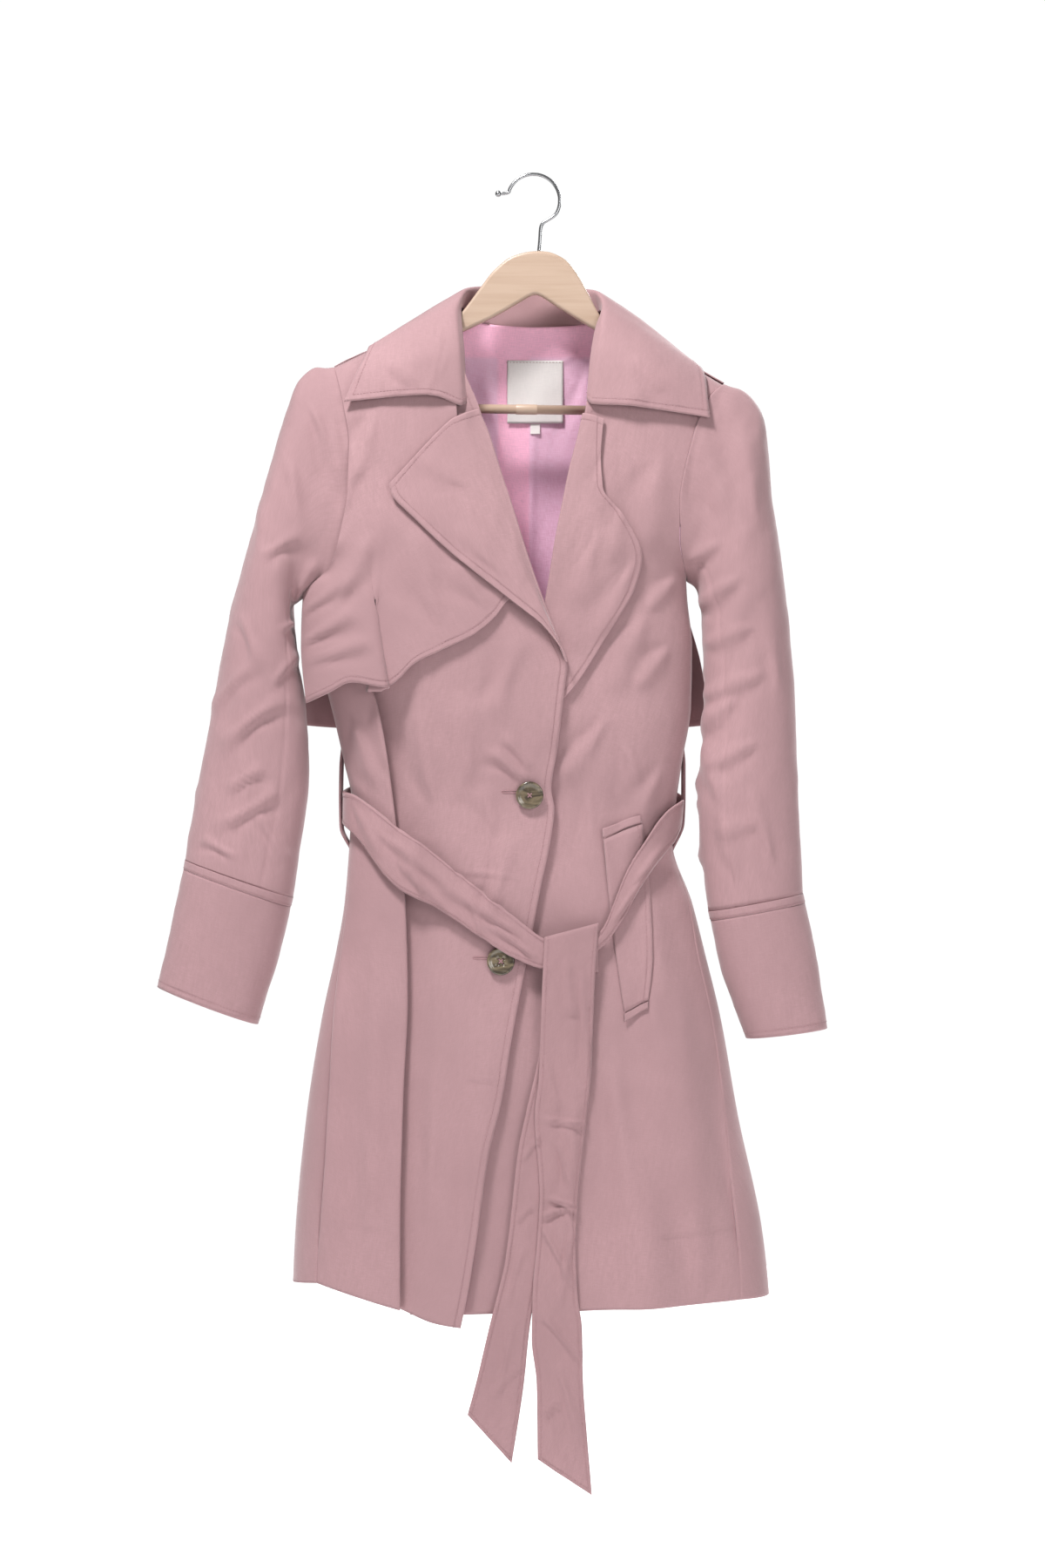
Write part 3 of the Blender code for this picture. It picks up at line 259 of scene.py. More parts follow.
@dataclass(frozen=True)
class BodyForm:
    """The coat's smooth body: outlines by height, depths, shoulder line and neckline."""

    body: Rows = (
        (-100, -250, 266, 24, 30), (-140, -249, 262, 27, 34), (-200, -248, 253, 34, 37),
        (-300, -246, 216, 47, 42), (-370, -243, 177, 54, 45), (-410, -241, 152, 56, 46),
        (-431, -240, 153, 57, 46), (-482, -228, 158, 59, 46), (-543, -211, 157, 59, 45),
        (-599, -198, 148, 56, 44), (-640, -190, 142, 53, 43), (-682, -192, 138, 56, 44),
        (-744, -197, 158, 62, 48), (-791, -205, 170, 65, 51), (-861, -220, 187, 70, 55),
        (-962, -236, 205, 78, 61), (-1075, -247, 229, 86, 66), (-1135, -250, 236, 90, 69),
        (-1180, -252, 239, 92, 71))
    cape: Rows = body[:6] + (
        (-431, -240, 153, 57, 47), (-460, -240, 161, 59, 49), (-500, -243, 173, 62, 52),
        (-570, -245, 184, 65, 54))
    shoulder: Rows = (
        (-260, -222), (-207, -197), (-140, -165), (-81, -137), (-45, -100), (28, -100), (69, -141), (128, -177),
        (190, -214), (250, -250))
    neckline: Rows = ((-81, -137), (-68, -149), (-3, -162), (56, -152), (69, -141))
    squareness: float = 2.8
    shoulder_roll: float = 70.0

    def shoulder_share(self, x: Array, z: Array) -> Array:
        """How far the surface has come away from the shoulder line: 0 on it, 1 below the roll.

        Args:
            x: positions across.
            z: heights.

        Returns:
            The share at each point.
        """
        line = by_place(self.shoulder, x)
        drop = np.clip((line - z) / self.shoulder_roll, 0, 1)
        return np.sqrt(1 - (1 - drop) ** 2)

    def skin(self, x: Array, z: Array, side: int, loose: bool = False) -> Array:
        """Depth of the body's surface.

        Args:
            x: positions across.
            z: heights.
            side: -1 for the front, 1 for the back.
            loose: read the looser form of the storm flap and the cape.

        Returns:
            The Y of the surface over each point.
        """
        left, right, front, back = np.moveaxis(by_height(self.cape if loose else self.body, z), -1, 0)
        across = np.clip(np.abs(x - (left + right) / 2) / ((right - left) / 2), 0, 1)
        depth = (front if side < 0 else back) * (1 - across ** self.squareness) ** (1 / self.squareness)
        return side * depth * self.shoulder_share(x, z)

    def angle_at(self, x: Array, z: Array) -> Array:
        """Angle round the back of the body's section of a point: 0 at +X, 90 at the back, 180 at -X.

        Args:
            x: positions across.
            z: heights.

        Returns:
            The angle of each point, in degrees.
        """
        left, right, _, _ = np.moveaxis(by_height(self.body, z), -1, 0)
        across = np.clip((x - (left + right) / 2) / ((right - left) / 2), -1, 1)
        return np.degrees(np.arccos(np.sign(across) * np.abs(across) ** (self.squareness / 2)))

    def around(self, angle: Array, z: Array, loose: bool = False) -> Array:
        """Points of the body's section.

        Args:
            angle: degrees round the section.
            z: heights.
            loose: read the looser form of the storm flap and the cape.

        Returns:
            The points, in millimetres.
        """
        left, right, front, back = np.moveaxis(by_height(self.cape if loose else self.body, z), -1, 0)
        cosine, sine = np.cos(np.radians(angle)), np.sin(np.radians(angle))
        x = (left + right) / 2 + (right - left) / 2 * np.sign(cosine) * np.abs(cosine) ** (2 / self.squareness)
        y = np.where(sine > 0, back, front) * np.sign(sine) * np.abs(sine) ** (2 / self.squareness)
        return np.stack([x, y * self.shoulder_share(x, z), z + 0 * x], axis=-1)

    def back_top(self, x: Array) -> Array:
        """Height of the back's upper edge: the neckline, then the shoulder line."""
        in_neck = (x > self.neckline[0][0]) & (x < self.neckline[-1][0])
        return np.where(in_neck, by_place(self.neckline, x), by_place(self.shoulder, x))


# ---- objects

def linked(name: str, data: bpy.types.ID) -> bpy.types.Object:
    """A new object with this data, linked to the scene.

    Args:
        name: the object's name.
        data: its mesh, light or camera.

    Returns:
        The object.
    """
    thing = bpy.data.objects.new(name, data)
    bpy.context.scene.collection.objects.link(thing)
    return thing


def settle(piece: bpy.types.Object) -> None:
    """Turn a piece's modifiers into its own mesh.

    Args:
        piece: the object whose modifiers are applied.
    """
    bpy.context.view_layer.update()
    graph = bpy.context.evaluated_depsgraph_get()
    made = bpy.data.meshes.new_from_object(piece.evaluated_get(graph))
    piece.modifiers.clear()
    piece.data = made


def ring_faces(rings: int, sides: int, base: int = 0, capped: bool = True, joined: bool = False) -> list:
    """Faces between closed rings of points.

    Args:
        rings: number of rings.
        sides: points of each.
        base: index of the first point.
        capped: close the first and the last ring with one face each.
        joined: let the first ring follow the last one.

    Returns:
        The corners of each face.
    """
    near = [base + r * sides for r in range(rings)]
    far = near[1:] + near[:1]
    faces = [(one + c, one + (c + 1) % sides, two + (c + 1) % sides, two + c)
             for one, two in list(zip(near, far))[:None if joined else -1] for c in range(sides)]
    if capped:
        faces += [tuple(near[0] + c for c in range(sides)), tuple(near[-1] + c for c in range(sides))]
    return faces


# ---- cloth pieces

class Finish(Enum):
    """The finishes of the coat and its hanger, each with a short name."""

    CLOTH = "cloth"
    BELT = "cloth_belt"
    LINING = "lining"
    LABEL = "label"
    HORN = "horn"
    WOOD = "wood"
    STEEL = "steel"
    THREAD = "thread"


@dataclass
class Wardrobe:
    """What the sub-assemblies share: the body form, the drapes, the finishes and the stitch rows."""

    form: BodyForm
    front: Drape
    back: Drape
    materials: dict[Finish, bpy.types.Material] = field(default_factory=dict)
    stitches: list[Array] = field(default_factory=list)

    def enter(self, piece: bpy.types.Object, nodes: tuple[str, ...], finish: Finish) -> None:
        """Ride a finished piece on the coat and let it stand for its CAD nodes.

        Args:
            piece: the finished object.
            nodes: CAD nodes that it replaces.
            finish: not used.
        """
        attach(piece, "root")
        if nodes:
            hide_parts(*nodes)
        LOG.info("%s: %d faces", piece.name, len(getattr(piece.data, "polygons", ())))

    def skin(self, x: Array, z: Array) -> Array:
        """Depth of the draped front over points."""
        return self.form.skin(x, z, -1) - self.front.swell(x, z)


@dataclass
class Cloth:
    """One sheet of cloth: a grid of points that gets a wall, a weave map and its stitched edges.

    Edges are named first_row, last_row, first_column and last_column.
    """

    name: str
    grid: Array
    nodes: tuple[str, ...]
    outwards: tuple[float, float, float] = (0, -1, 0)
    finish: Finish = Finish.CLOTH
    inside: Finish | None = None
    thick: float = 1.2
    closed: bool = False
    stitched: dict[str, float] = field(default_factory=dict)
    seams: tuple[Array, ...] = ()
    rests_on: tuple[str, ...] = ("hanger_board",)
    tone: Array | None = None
    narrowest: ClassVar[float] = 0.01

    def lengths(self) -> tuple[Array, Array]:
        """Distances along the rows and down the columns from the first point of each.

        Returns:
            The distances along the rows, and those down the columns.
        """
        across = np.linalg.norm(np.diff(self.grid, axis=1), axis=-1)
        down = np.linalg.norm(np.diff(self.grid, axis=0), axis=-1)
        u = np.concatenate([np.zeros((len(self.grid), 1)), np.cumsum(across, axis=1)], axis=1)
        v = np.concatenate([np.zeros((1, self.grid.shape[1])), np.cumsum(down, axis=0)], axis=0)
        return u, v

    def edge_distance(self, u: Array, v: Array, edge: str) -> Array:
        """Distance of each point from one edge, measured in the cloth."""
        return {"first_column": u, "last_column": u[:, -1:] - u, "first_row": v, "last_row": v[-1:] - v}[edge]

    def stitch_rows(self, wardrobe: Wardrobe, u: Array, v: Array) -> None:
        """Lay a row of stitches beside each stitched edge, on the outer face.

        Args:
            wardrobe: where the rows are collected.
            u: distances along the rows.
            v: distances down the columns.
        """
        way = facing(self.grid, self.outwards)
        outer = self.grid + way * (self.thick / 2 + 0.12)
        ends = [self.stitched.get(name, 0.0) for name in ("first_row", "last_row", "first_column", "last_column")]
        for edge, inset in self.stitched.items():
            distance = self.edge_distance(u, v, edge)
            flip = edge.endswith("row")
            lines, gaps = (outer.swapaxes(0, 1), distance.T) if flip else (outer, distance)
            path = np.array([[np.interp(inset, gap[::step], line[::step, axis]) for axis in range(3)]
                             for line, gap, step in zip(lines, gaps, np.where(gaps[:, 0] < gaps[:, -1], 1, -1))])
            run = run_along(path)
            start, stop = (ends[2], ends[3]) if flip else (ends[0], ends[1])
            keep = (run >= start) & (run <= run[-1] - stop)
            if keep.sum() > 3:
                wardrobe.stitches.append(path[keep])

    def make(self, wardrobe: Wardrobe) -> None:
        """Build the piece and enter it in the scene, with its finish and its rows of stitches.

        Args:
            wardrobe: the finishes and the collected rows of stitches.
        """
        grid = self.grid if not self.closed else np.concatenate([self.grid, self.grid[:, :1]], axis=1)
        rows, columns = grid.shape[:2]
        count = columns - 1 if self.closed else columns
        u, v = Cloth(self.name, grid, ()).lengths()
        a = np.arange(rows - 1)[:, None] * count + np.arange(columns - 1)[None, :]
        right = np.arange(rows - 1)[:, None] * count + (np.arange(1, columns)[None, :] % count)
        quads = np.stack([a, a + count, right + count, right], axis=-1).reshape(-1, 4)
        middle = normals(grid)[rows // 2, columns // 2]
        if np.dot(middle, self.outwards) < 0:
            quads = quads[:, ::-1]
        mesh = bpy.data.meshes.new(self.name)
        mesh.from_pydata((grid[:, :count].reshape(-1, 3) * MM).tolist(), [], quads.tolist())
        mesh.polygons.foreach_set("use_smooth", np.ones(len(mesh.polygons), bool))
        flat_u, flat_v = u.reshape(-1) * MM, v.reshape(-1) * MM
        corner = np.stack([np.arange(rows - 1)[:, None] * columns + np.arange(columns - 1)[None, :]] * 4, axis=-1)
        corner = corner + np.array([0, columns, columns + 1, 1])
        order = corner.reshape(-1, 4)[:, ::-1] if np.dot(middle, self.outwards) < 0 else corner.reshape(-1, 4)
        layer = mesh.uv_layers.new(name="weave")
        layer.data.foreach_set("uv", np.stack([flat_u[order], flat_v[order]], axis=-1).reshape(-1))
        hem = np.full((rows, columns), 60.0)
        near = np.full((rows, columns), 60.0)
        for edge, inset in self.stitched.items():
            distance = self.edge_distance(u, v, edge)
            hem = np.minimum(hem, np.abs(distance - inset))
            near = np.minimum(near, distance)
        for seam in self.seams:
            near = np.minimum(near, seam)
        for name, values in (("stitch_line", hem), ("edge", near)):
            mesh.attributes.new(name, "FLOAT", "POINT").data.foreach_set("value", values[:, :count].reshape(-1))
        if self.tone is not None:
            mesh.attributes.new("tone", "FLOAT", "POINT").data.foreach_set("value", self.tone.reshape(-1))
        mesh.materials.append(wardrobe.materials[self.finish])
        mesh.materials.append(wardrobe.materials[self.inside or self.finish])
        piece = linked(self.name, mesh)
        wall = piece.modifiers.new("wall", "SOLIDIFY")
        wall.thickness, wall.offset = self.thick * MM, 0.0
        wall.material_offset = 1
        wall.use_even_offset = False
        if self.stitched:
            self.stitch_rows(wardrobe, *self.lengths())
        area = self.flat_area(grid)
        width, length = (max(self.narrowest, float(run.max()) * MM) for run in (u, v))
        list(self.rests_on)
        wardrobe.enter(piece, self.nodes, self.finish)
        LOG.info("%s: cloth area %.4f m2, widest %.3f m, longest %.3f m", self.name, area, width, length)

    @staticmethod
    def flat_area(grid: Array) -> float:
        """Area of a grid's faces in square metres.

        Args:
            grid: points in rows and columns, in millimetres.

        Returns:
            The area.
        """
        one = np.cross(grid[1:, :-1] - grid[:-1, :-1], grid[:-1, 1:] - grid[:-1, :-1])
        two = np.cross(grid[1:, :-1] - grid[1:, 1:], grid[:-1, 1:] - grid[1:, 1:])
        return float((np.linalg.norm(one, axis=-1) + np.linalg.norm(two, axis=-1)).sum() / 2 * MM * MM)


# ---- body

def fold_path(edge: Array, reach: Array, share: Array, pitch: float, flat: float,
              steps: int) -> tuple[Array, Array]:
    """Points across the deep fold, from its under-turn to its outer edge.

    Args:
        edge: position of the fold's outer edge, one a row.
        reach: how far the under-turn lies behind that edge.
        share: 0 where the cloth lies flat, 1 where it is folded.
        pitch: spacing of the folded layers.
        flat: width of the fold's cloth where it lies flat.
        steps: number of points.

    Returns:
        Positions across and depths, one row of points for each edge.
    """
    q = np.linspace(0, 1, 9)
    turn = 0.43 * pitch
    under = edge - reach
    across = np.stack([under, under - turn, under - turn, under, (under + edge) / 2, edge, edge + turn,
                       edge + turn, edge])
    depth = pitch * np.array([2, 1.75, 1.25, 1, 1, 1, 0.75, 0.25, 0])[:, None] * np.ones_like(edge)
    across = (edge + flat * (1 - q[:, None])) * (1 - share) + across * share
    at = np.concatenate([np.linspace(0, 0.375, steps // 2), np.linspace(0.375, 1, steps - steps // 2 + 1)[1:]])
    return even(across, at).T, even(depth * share, at).T


def folded_rows(inner: Array, outer: Array, fold: Rows, pitch: float, fade: float, flat: float,
                counts: tuple[int, int, int]) -> tuple[Array, Array, Array]:
    """Rows of a front view with a deep fold in them.

    Args:
        inner: inner end of each row, across and height.
        outer: outer end of each row.
        fold: height, outer edge, reach and share of the fold.
        pitch: spacing of the folded layers.
        fade: width over which the cloth beside the fold sinks.
        flat: width of the fold's cloth where it lies flat.
        counts: columns before, in and after the fold.

    Returns:
        Positions across, heights and depths behind the smooth surface.
    """
    row_fold = by_height(fold, outer[:, 1])
    edge, reach, share = row_fold[:, 0], row_fold[:, 1], row_fold[:, 2]
    path_x, path_d = fold_path(edge, reach, share, pitch, flat, counts[1])
    t = np.linspace(0, 1, counts[0] + 1)[:-1]
    centre_x = inner[:, :1] + (path_x[:, :1] - inner[:, :1]) * t
    centre_d = path_d[:, :1] * ease((fade + edge[:, None] - centre_x) / fade)
    side_t = 1 - (1 - np.linspace(0, 1, counts[2] + 1)[1:]) ** 1.5
    side_x = edge[:, None] + (outer[:, :1] - edge[:, None]) * side_t
    x = np.concatenate([centre_x, path_x, side_x], axis=1)
    depth = np.concatenate([centre_d, path_d, 0 * side_x], axis=1)
    share_across = (x - inner[:, :1]) / (outer[:, :1] - inner[:, :1])
    z = inner[:, 1:] + (outer[:, 1:] - inner[:, 1:]) * share_across
    return x, z, depth


@dataclass
class Body:
    """Fronts, back, storm flap, back cape and pocket, on one body form."""

    wardrobe: Wardrobe
    rows: tuple[int, int] = (80, 226)
    back_columns: int = 70
    front_columns: tuple[int, int, int] = (60, 26, 26)
    flap_columns: tuple[int, int, int] = (52, 22, 24)
    fold_pitch: float = 6.0
    fold_fade: float = 60.0
    fold_flat: float = 36.0
    flap_pitch: float = 4.0
    flap_start: float = 1.9
    flap_lift: float = 5.0
    cape_lift: float = 4.8
    underlap_depth: float = 7.0
    underlap: tuple[float, float, float, float] = (-350.0, 92.0, 92.0, 80.0)
    neck_back: float = -162.0
    neck_fade: float = 240.0
    yoke_low: float = -425.0
    back_hem: float = -1146.0
    side_hems: tuple[float, float] = (-1126.0, -1142.0)
    cape_hem: float = -562.0
    right_inner: Rows = (
        (-137, -81), (-178, -79), (-200, -75), (-238, -60), (-301, -41), (-344, -27), (-398, -10), (-443, 6),
        (-478, 20), (-504, 30), (-521, 28), (-588, 20), (-628, 14), (-648, 17), (-681, 13), (-724, 4),
        (-806, -12), (-885, -27), (-936, -35), (-994, -49), (-1077, -61), (-1132, -70), (-1166, -77))
    left_inner: Rows = (
        (-141, 69), (-168, 62), (-250, 47), (-315, 32), (-372, 21), (-440, 10), (-509, -6), (-561, -26),
        (-640, -42), (-760, -60), (-885, -80), (-1030, -106), (-1156, -128))
    right_side: Rows = (
        (-431, 180), (-640, 180), (-690, 184), (-743, 191), (-795, 197), (-888, 207), (-944, 211), (-1028, 213),
        (-1126, 212))
    left_side: Rows = (
        (-410, 0), (-640, 0), (-690, -8), (-744, -15), (-804, -21), (-888, -22), (-958, -25), (-1046, -32),
        (-1142, -35))
    right_armhole: Rows = (
        (-207, -197), (-197, -234), (-190, -281), (-191, -323), (-197, -362), (-204, -394), (-216, -415),
        (-240, -431))
    right_armhole_back: Rows = (
        (-207, -197), (-199, -236), (-194, -283), (-195, -325), (-200, -364), (-208, -396), (-220, -416),
        (-240, -431))
    left_armhole: Rows = (
        (190, -214), (175, -228), (163, -252), (156, -275), (149, -303), (144, -335), (144, -374), (152, -410))
    left_armhole_back: Rows = (
        (190, -214), (178, -232), (167, -258), (160, -282), (154, -310), (150, -340), (149, -376), (152, -410))
    right_fold: Rows = (
        (-340, -183, 0, 0.0), (-420, -180, 4, 0.25), (-500, -176, 10, 0.75), (-545, -164, 16, 1.0),
        (-580, -157, 20, 1.0), (-662, -146, 21, 1.0), (-729, -137, 32, 1.0), (-831, -134, 50, 1.0),
        (-920, -138, 60, 1.0), (-1050, -141, 66, 1.0), (-1134, -141, 68, 1.0))
    left_fold: Rows = (
        (-700, 108, 0, 16), (-773, 119, 7, 16), (-831, 127, 9, 20), (-960, 122, 9, 26), (-1140, 112, 11, 30))
    flap_fold: Rows = ((-340, -181, 0, 0.0), (-380, -178, 2, 0.2), (-460, -167, 10, 0.7), (-540, -156, 16, 1.0))
    front_hem: Rows = ((-77, -1166), (-104, -1162), (-139, -1149), (-163, -1139), (-207, -1128))
    flap: Rows = (
        (-90, -142, -207, -197), (-86, -185, -197, -234), (-82, -240, -190, -281), (-76, -298, -191, -323),
        (-64, -345, -197, -362), (-45, -385, -207, -400), (-30, -408, -234.5, -434), (-20, -420, -236, -482),
        (-14, -428, -231, -540))
    flap_hem: Rows = (
        (-14, -428), (-29, -437), (-43, -455), (-65, -473), (-96, -488), (-124, -502), (-141, -519), (-157, -530))
    flap_side_hem: Rows = ((-156, -526), (-187, -521), (-208, -531), (-231, -541))
    cape_right_side: Rows = ((-431, 163), (-562, 162))
    cape_left_side: Rows = ((-410, 17), (-562, 18))
    welt: Rows = ((66, -679, 105, -663), (72, -740, 113, -735), (78, -790, 116, -795), (87, -852, 112, -840))
    welt_upper: Rows = ((65, -668, 104, -654), (65.5, -677.5, 104.5, -661.5))
    welt_lower: Rows = ((87, -853.5, 112, -841.5), (87, -862, 112, -848))
    welt_lift: float = 2.3

    def ends(self, inner_table: Rows, heights: tuple[float, float, float], armhole: Rows, side: Rows,
             side_end: float) -> tuple[Array, Array]:
        """Inner and outer ends of a front's rows, from the shoulder line down to the hem.

        Args:
            inner_table: height and position of the inner edge.
            heights: inner edge's top, the row that ends at the underarm, and the hem.
            armhole: the armhole from the shoulder point to the underarm.
            side: height and angle of the side seam.
            side_end: height of the hem at the side seam.

        Returns:
            The two ends of each row, across and height.
        """
        t_up = np.linspace(0, 1, self.rows[0]) ** 1.7
        t_low = np.linspace(0, 1, self.rows[1] + 1)[1:]
        top, middle, bottom = heights
        z_in = np.concatenate([top + (middle - top) * t_up, middle + (bottom - middle) * t_low])
        inner = np.stack([by_height(inner_table, z_in)[:, 0], z_in], axis=1)
        z_low = armhole[-1][1] + (side_end - armhole[-1][1]) * t_low
        lower = self.wardrobe.form.around(by_height(side, z_low)[:, 0], z_low)[:, ::2]
        return inner, np.concatenate([even(armhole, t_up), lower])

    def sunk(self, x: Array, z: Array) -> Array:
        """How far the left front lies behind the smooth front surface.

        Args:
            x: positions across.
            z: heights.

        Returns:
            The distance at each point.
        """
        top, drop, wide, rise = self.underlap
        edge = by_height(self.right_inner, z)[..., 0]
        fold_edge, _, share = np.moveaxis(by_height(self.right_fold, z), -1, 0)
        behind = ease((top - z) / drop)
        sink = 2 * self.fold_pitch * share * ease((self.fold_fade + fold_edge - x) / self.fold_fade)
        return self.underlap_depth * behind * ease((edge + wide - x) / rise) + sink * behind

    def soft_fold(self, x: Array, z: Array) -> Array:
        """Forward swell of the left front's soft fold."""
        place, deep, wide = np.moveaxis(by_height(self.left_fold, z), -1, 0)
        return deep * np.exp(-((x - place) / wide) ** 2) * (z < self.left_fold[0][0])

    def right_front(self) -> Cloth:
        """The right front, which laps over the left one and has the deep fold.

        Returns:
            The front.
        """
        inner, outer = self.ends(self.right_inner, (-137, -440, -1166), self.right_armhole, self.right_side,
                                 self.side_hems[0])
        x, z, depth = folded_rows(inner, outer, self.right_fold, self.fold_pitch, self.fold_fade, self.fold_flat,
                                  self.front_columns)
        near = slice(0, self.front_columns[0] + 2)
        hem = by_height(self.front_hem, x[-1, near])[:, 0]
        z[:, near] += (hem - z[-1, near]) * ease((-800 - z[:, near]) / 330)
        y = self.wardrobe.form.skin(x, z, -1) + depth - self.wardrobe.front.swell(x, z) * ease(1.4 - depth / 9)
        grid = np.stack([x, y, z], axis=-1)
        return Cloth("front_right_cloth", grid, ("front_right",), inside=Finish.LINING,
                     stitched={"first_column": 7.0})

    def left_front(self) -> Cloth:
        """The left front, whose inner part lies behind the right one.

        Returns:
            The front.
        """
        inner, outer = self.ends(self.left_inner, (-141, -420, -1156), self.left_armhole, self.left_side,
                                 self.side_hems[1])
        t = 1 - (1 - np.linspace(0, 1, 84)) ** 1.6
        x = inner[:, :1] + (outer[:, :1] - inner[:, :1]) * t
        z = inner[:, 1:] + (outer[:, 1:] - inner[:, 1:]) * t
        y = self.wardrobe.skin(x, z) + self.sunk(x, z) - self.soft_fold(x, z)
        return Cloth("front_left_cloth", np.stack([x, y, z], axis=-1), ("front_left",), inside=Finish.LINING,
                     stitched={"first_column": 7.0})

    def back_net(self, armhole: Rows, side: Rows, side_end: float, middle_end: float, lower: int,
                 columns: int) -> tuple[Array, Array]:
        """Angles and heights of half of the back, from the centre seam out.

        Args:
            armhole: the back armhole from the shoulder point to the underarm.
            side: height and angle of the side seam.
            side_end: height of the hem at the side seam.
            middle_end: height of the hem at the centre seam.
            lower: rows below the underarm.
            columns: columns from the centre out.

        Returns:
            The angle round the body and the height of each point.
        """
        t_up = np.linspace(0, 1, self.rows[0]) ** 1.7
        t_low = np.linspace(0, 1, lower + 1)[1:]
        upper = even(armhole, t_up)
        z_low = armhole[-1][1] + (side_end - armhole[-1][1]) * t_low
        turn_up = self.wardrobe.form.angle_at(upper[:, 0], upper[:, 1])
        turn = np.concatenate([turn_up, by_height(side, z_low)[:, 0]])
        z_out = np.concatenate([upper[:, 1], z_low])
        z_mid = np.concatenate([self.neck_back + (self.yoke_low - self.neck_back) * t_up,
                                self.yoke_low + (middle_end - self.yoke_low) * t_low])
        s = np.linspace(0, 1, columns)
        line = self.neck_back + (z_out[0] - self.neck_back) * s
        top = line
        for _ in range(3):
            top = self.wardrobe.form.back_top(self.wardrobe.form.around(90 + (turn[0] - 90) * s, top)[:, 0])
        bump = (top - line) * ease(1 - (self.neck_back - z_mid) / self.neck_fade)[:, None]
        return 90 + (turn[:, None] - 90) * s, z_mid[:, None] * (1 - s) + z_out[:, None] * s + bump

    def back(self) -> Cloth:
        """Both halves of the back in one piece, with the centre seam as a shallow groove.

        Returns:
            The back.
        """
        halves = [self.back_net(armhole, side, side_hem, self.back_hem, self.rows[1], self.back_columns)
                  for armhole, side, side_hem in (
                      (self.right_armhole_back, self.right_side, self.side_hems[0]),
                      (self.left_armhole_back, self.left_side, self.side_hems[1]))]
        angle, z = (np.concatenate([right[:, ::-1], left[:, 1:]], axis=1) for right, left in zip(*halves))
        grid = self.wardrobe.form.around(angle, z)
        seam = np.linalg.norm(grid - grid[:, self.back_columns - 1:self.back_columns], axis=-1)
        push = self.wardrobe.back.swell(grid[..., 0], z) * ease(seam / 25 + 0.25)
        push = push * ease((grid[..., 1] + 10) / 30) - 0.9 * np.exp(-(seam / 3.0) ** 2)
        grid = grid + facing(grid, (0, 1, 0)) * push[..., None]
        return Cloth("back_cloth", grid, ("back_right", "back_left"), outwards=(0, 1, 0), inside=Finish.LINING,
                     seams=(seam,))

    def storm_flap(self) -> Cloth:
        """The storm flap over the right chest, with a fold of its own.

        Returns:
            The flap.
        """
        table = even(self.flap, np.concatenate([np.linspace(0, 0.1, 14), np.linspace(0.1, 1, 94)[1:]]))
        first, folded, _ = self.flap_columns
        x, z, depth = folded_rows(table[:, :2], table[:, 2:], self.flap_fold, self.flap_pitch, self.fold_fade,
                                  self.fold_flat, self.flap_columns)
        hem_c = by_height(self.flap_hem, x[-1, :first + 1])[:, 0]
        hem_s = by_height(self.flap_side_hem, x[-1, first + folded - 1:])[:, 0]
        hem = np.concatenate([hem_c, np.linspace(hem_c[-1], hem_s[0], folded)[1:-1], hem_s])
        z += (hem - z[-1]) * ease(np.linspace(-0.4, 1, len(z)))[:, None]
        grid = np.stack([x, self.wardrobe.form.skin(x, z, -1, loose=True), z], axis=-1)
        edge, _, share = by_height(self.flap_fold, table[:, 3])[:, :, None].swapaxes(0, 1)
        near = np.where(x > edge, ease((self.fold_fade + edge - x) / self.fold_fade),
                        ease((x - table[:, 2:3]) / 45 + 0.35))
        near[:, first:first + folded] = 1
        grid[..., 1] += depth - 2 * self.flap_pitch * share * near
        down = np.linspace(0, 1, len(z))[:, None]
        lift = self.flap_start + (self.flap_lift - self.flap_start) * ease(down * 5)
        grid = grid + facing(grid, (0, -1, 0)) * (lift + 0 * x)[..., None]
        grid[..., 1] -= self.wardrobe.front.swell(x, z)
        return Cloth("storm_flap_cloth", grid, ("storm_flap",), stitched={"last_row": 6.5})

    def back_cape(self) -> Cloth:
        """The storm cape over the upper back, from armhole to armhole.

        Returns:
            The cape.
        """
        halves = []
        for armhole, hang in ((self.right_armhole_back, self.cape_right_side),
                              (self.left_armhole_back, self.cape_left_side)):
            turn, z = self.back_net(armhole, hang, self.cape_hem, self.cape_hem - 8, 48, 60)
            end = np.clip(turn[:, -1:], self.cape_left_side[0][1], self.cape_right_side[0][1])
            halves.append((90 + (turn - 90) * (end - 90) / (turn[:, -1:] - 90), z))
        angle, z = (np.concatenate([right[:, ::-1], left[:, 1:]], axis=1) for right, left in zip(*halves))
        down = np.linspace(0, 1, len(z))[:, None]
        grid = self.wardrobe.form.around(angle, z, loose=True)
        lift = self.cape_lift * (0.57 + 0.43 * ease(2.5 * down)) + 0 * z
        grid = grid + facing(grid, (0, 1, 0)) * (lift + self.wardrobe.back.swell(grid[..., 0], z))[..., None]
        return Cloth("back_cape_cloth", grid, ("back_cape",), outwards=(0, 1, 0),
                     stitched={"last_row": 6.5})

    def strip(self, table: Rows, columns: int, rows: int, lift: float) -> Array:
        """A strip on the front.

        Args:
            table: upper and lower edge from one end to the other, each across and height.
            columns: points along it.
            rows: points across it.
            lift: how far it stands off the front.

        Returns:
            Its grid of points.
        """
        line = even(table, np.linspace(0, 1, columns))
        t = np.linspace(0, 1, rows)[:, None]
        x = line[:, 0] * (1 - t) + line[:, 2] * t
        z = line[:, 1] * (1 - t) + line[:, 3] * t
        grid = np.stack([x, self.wardrobe.skin(x, z) - self.soft_fold(x, z), z], axis=-1)
        return grid + facing(grid, (0, -1, 0)) * (lift + 0 * x)[..., None]

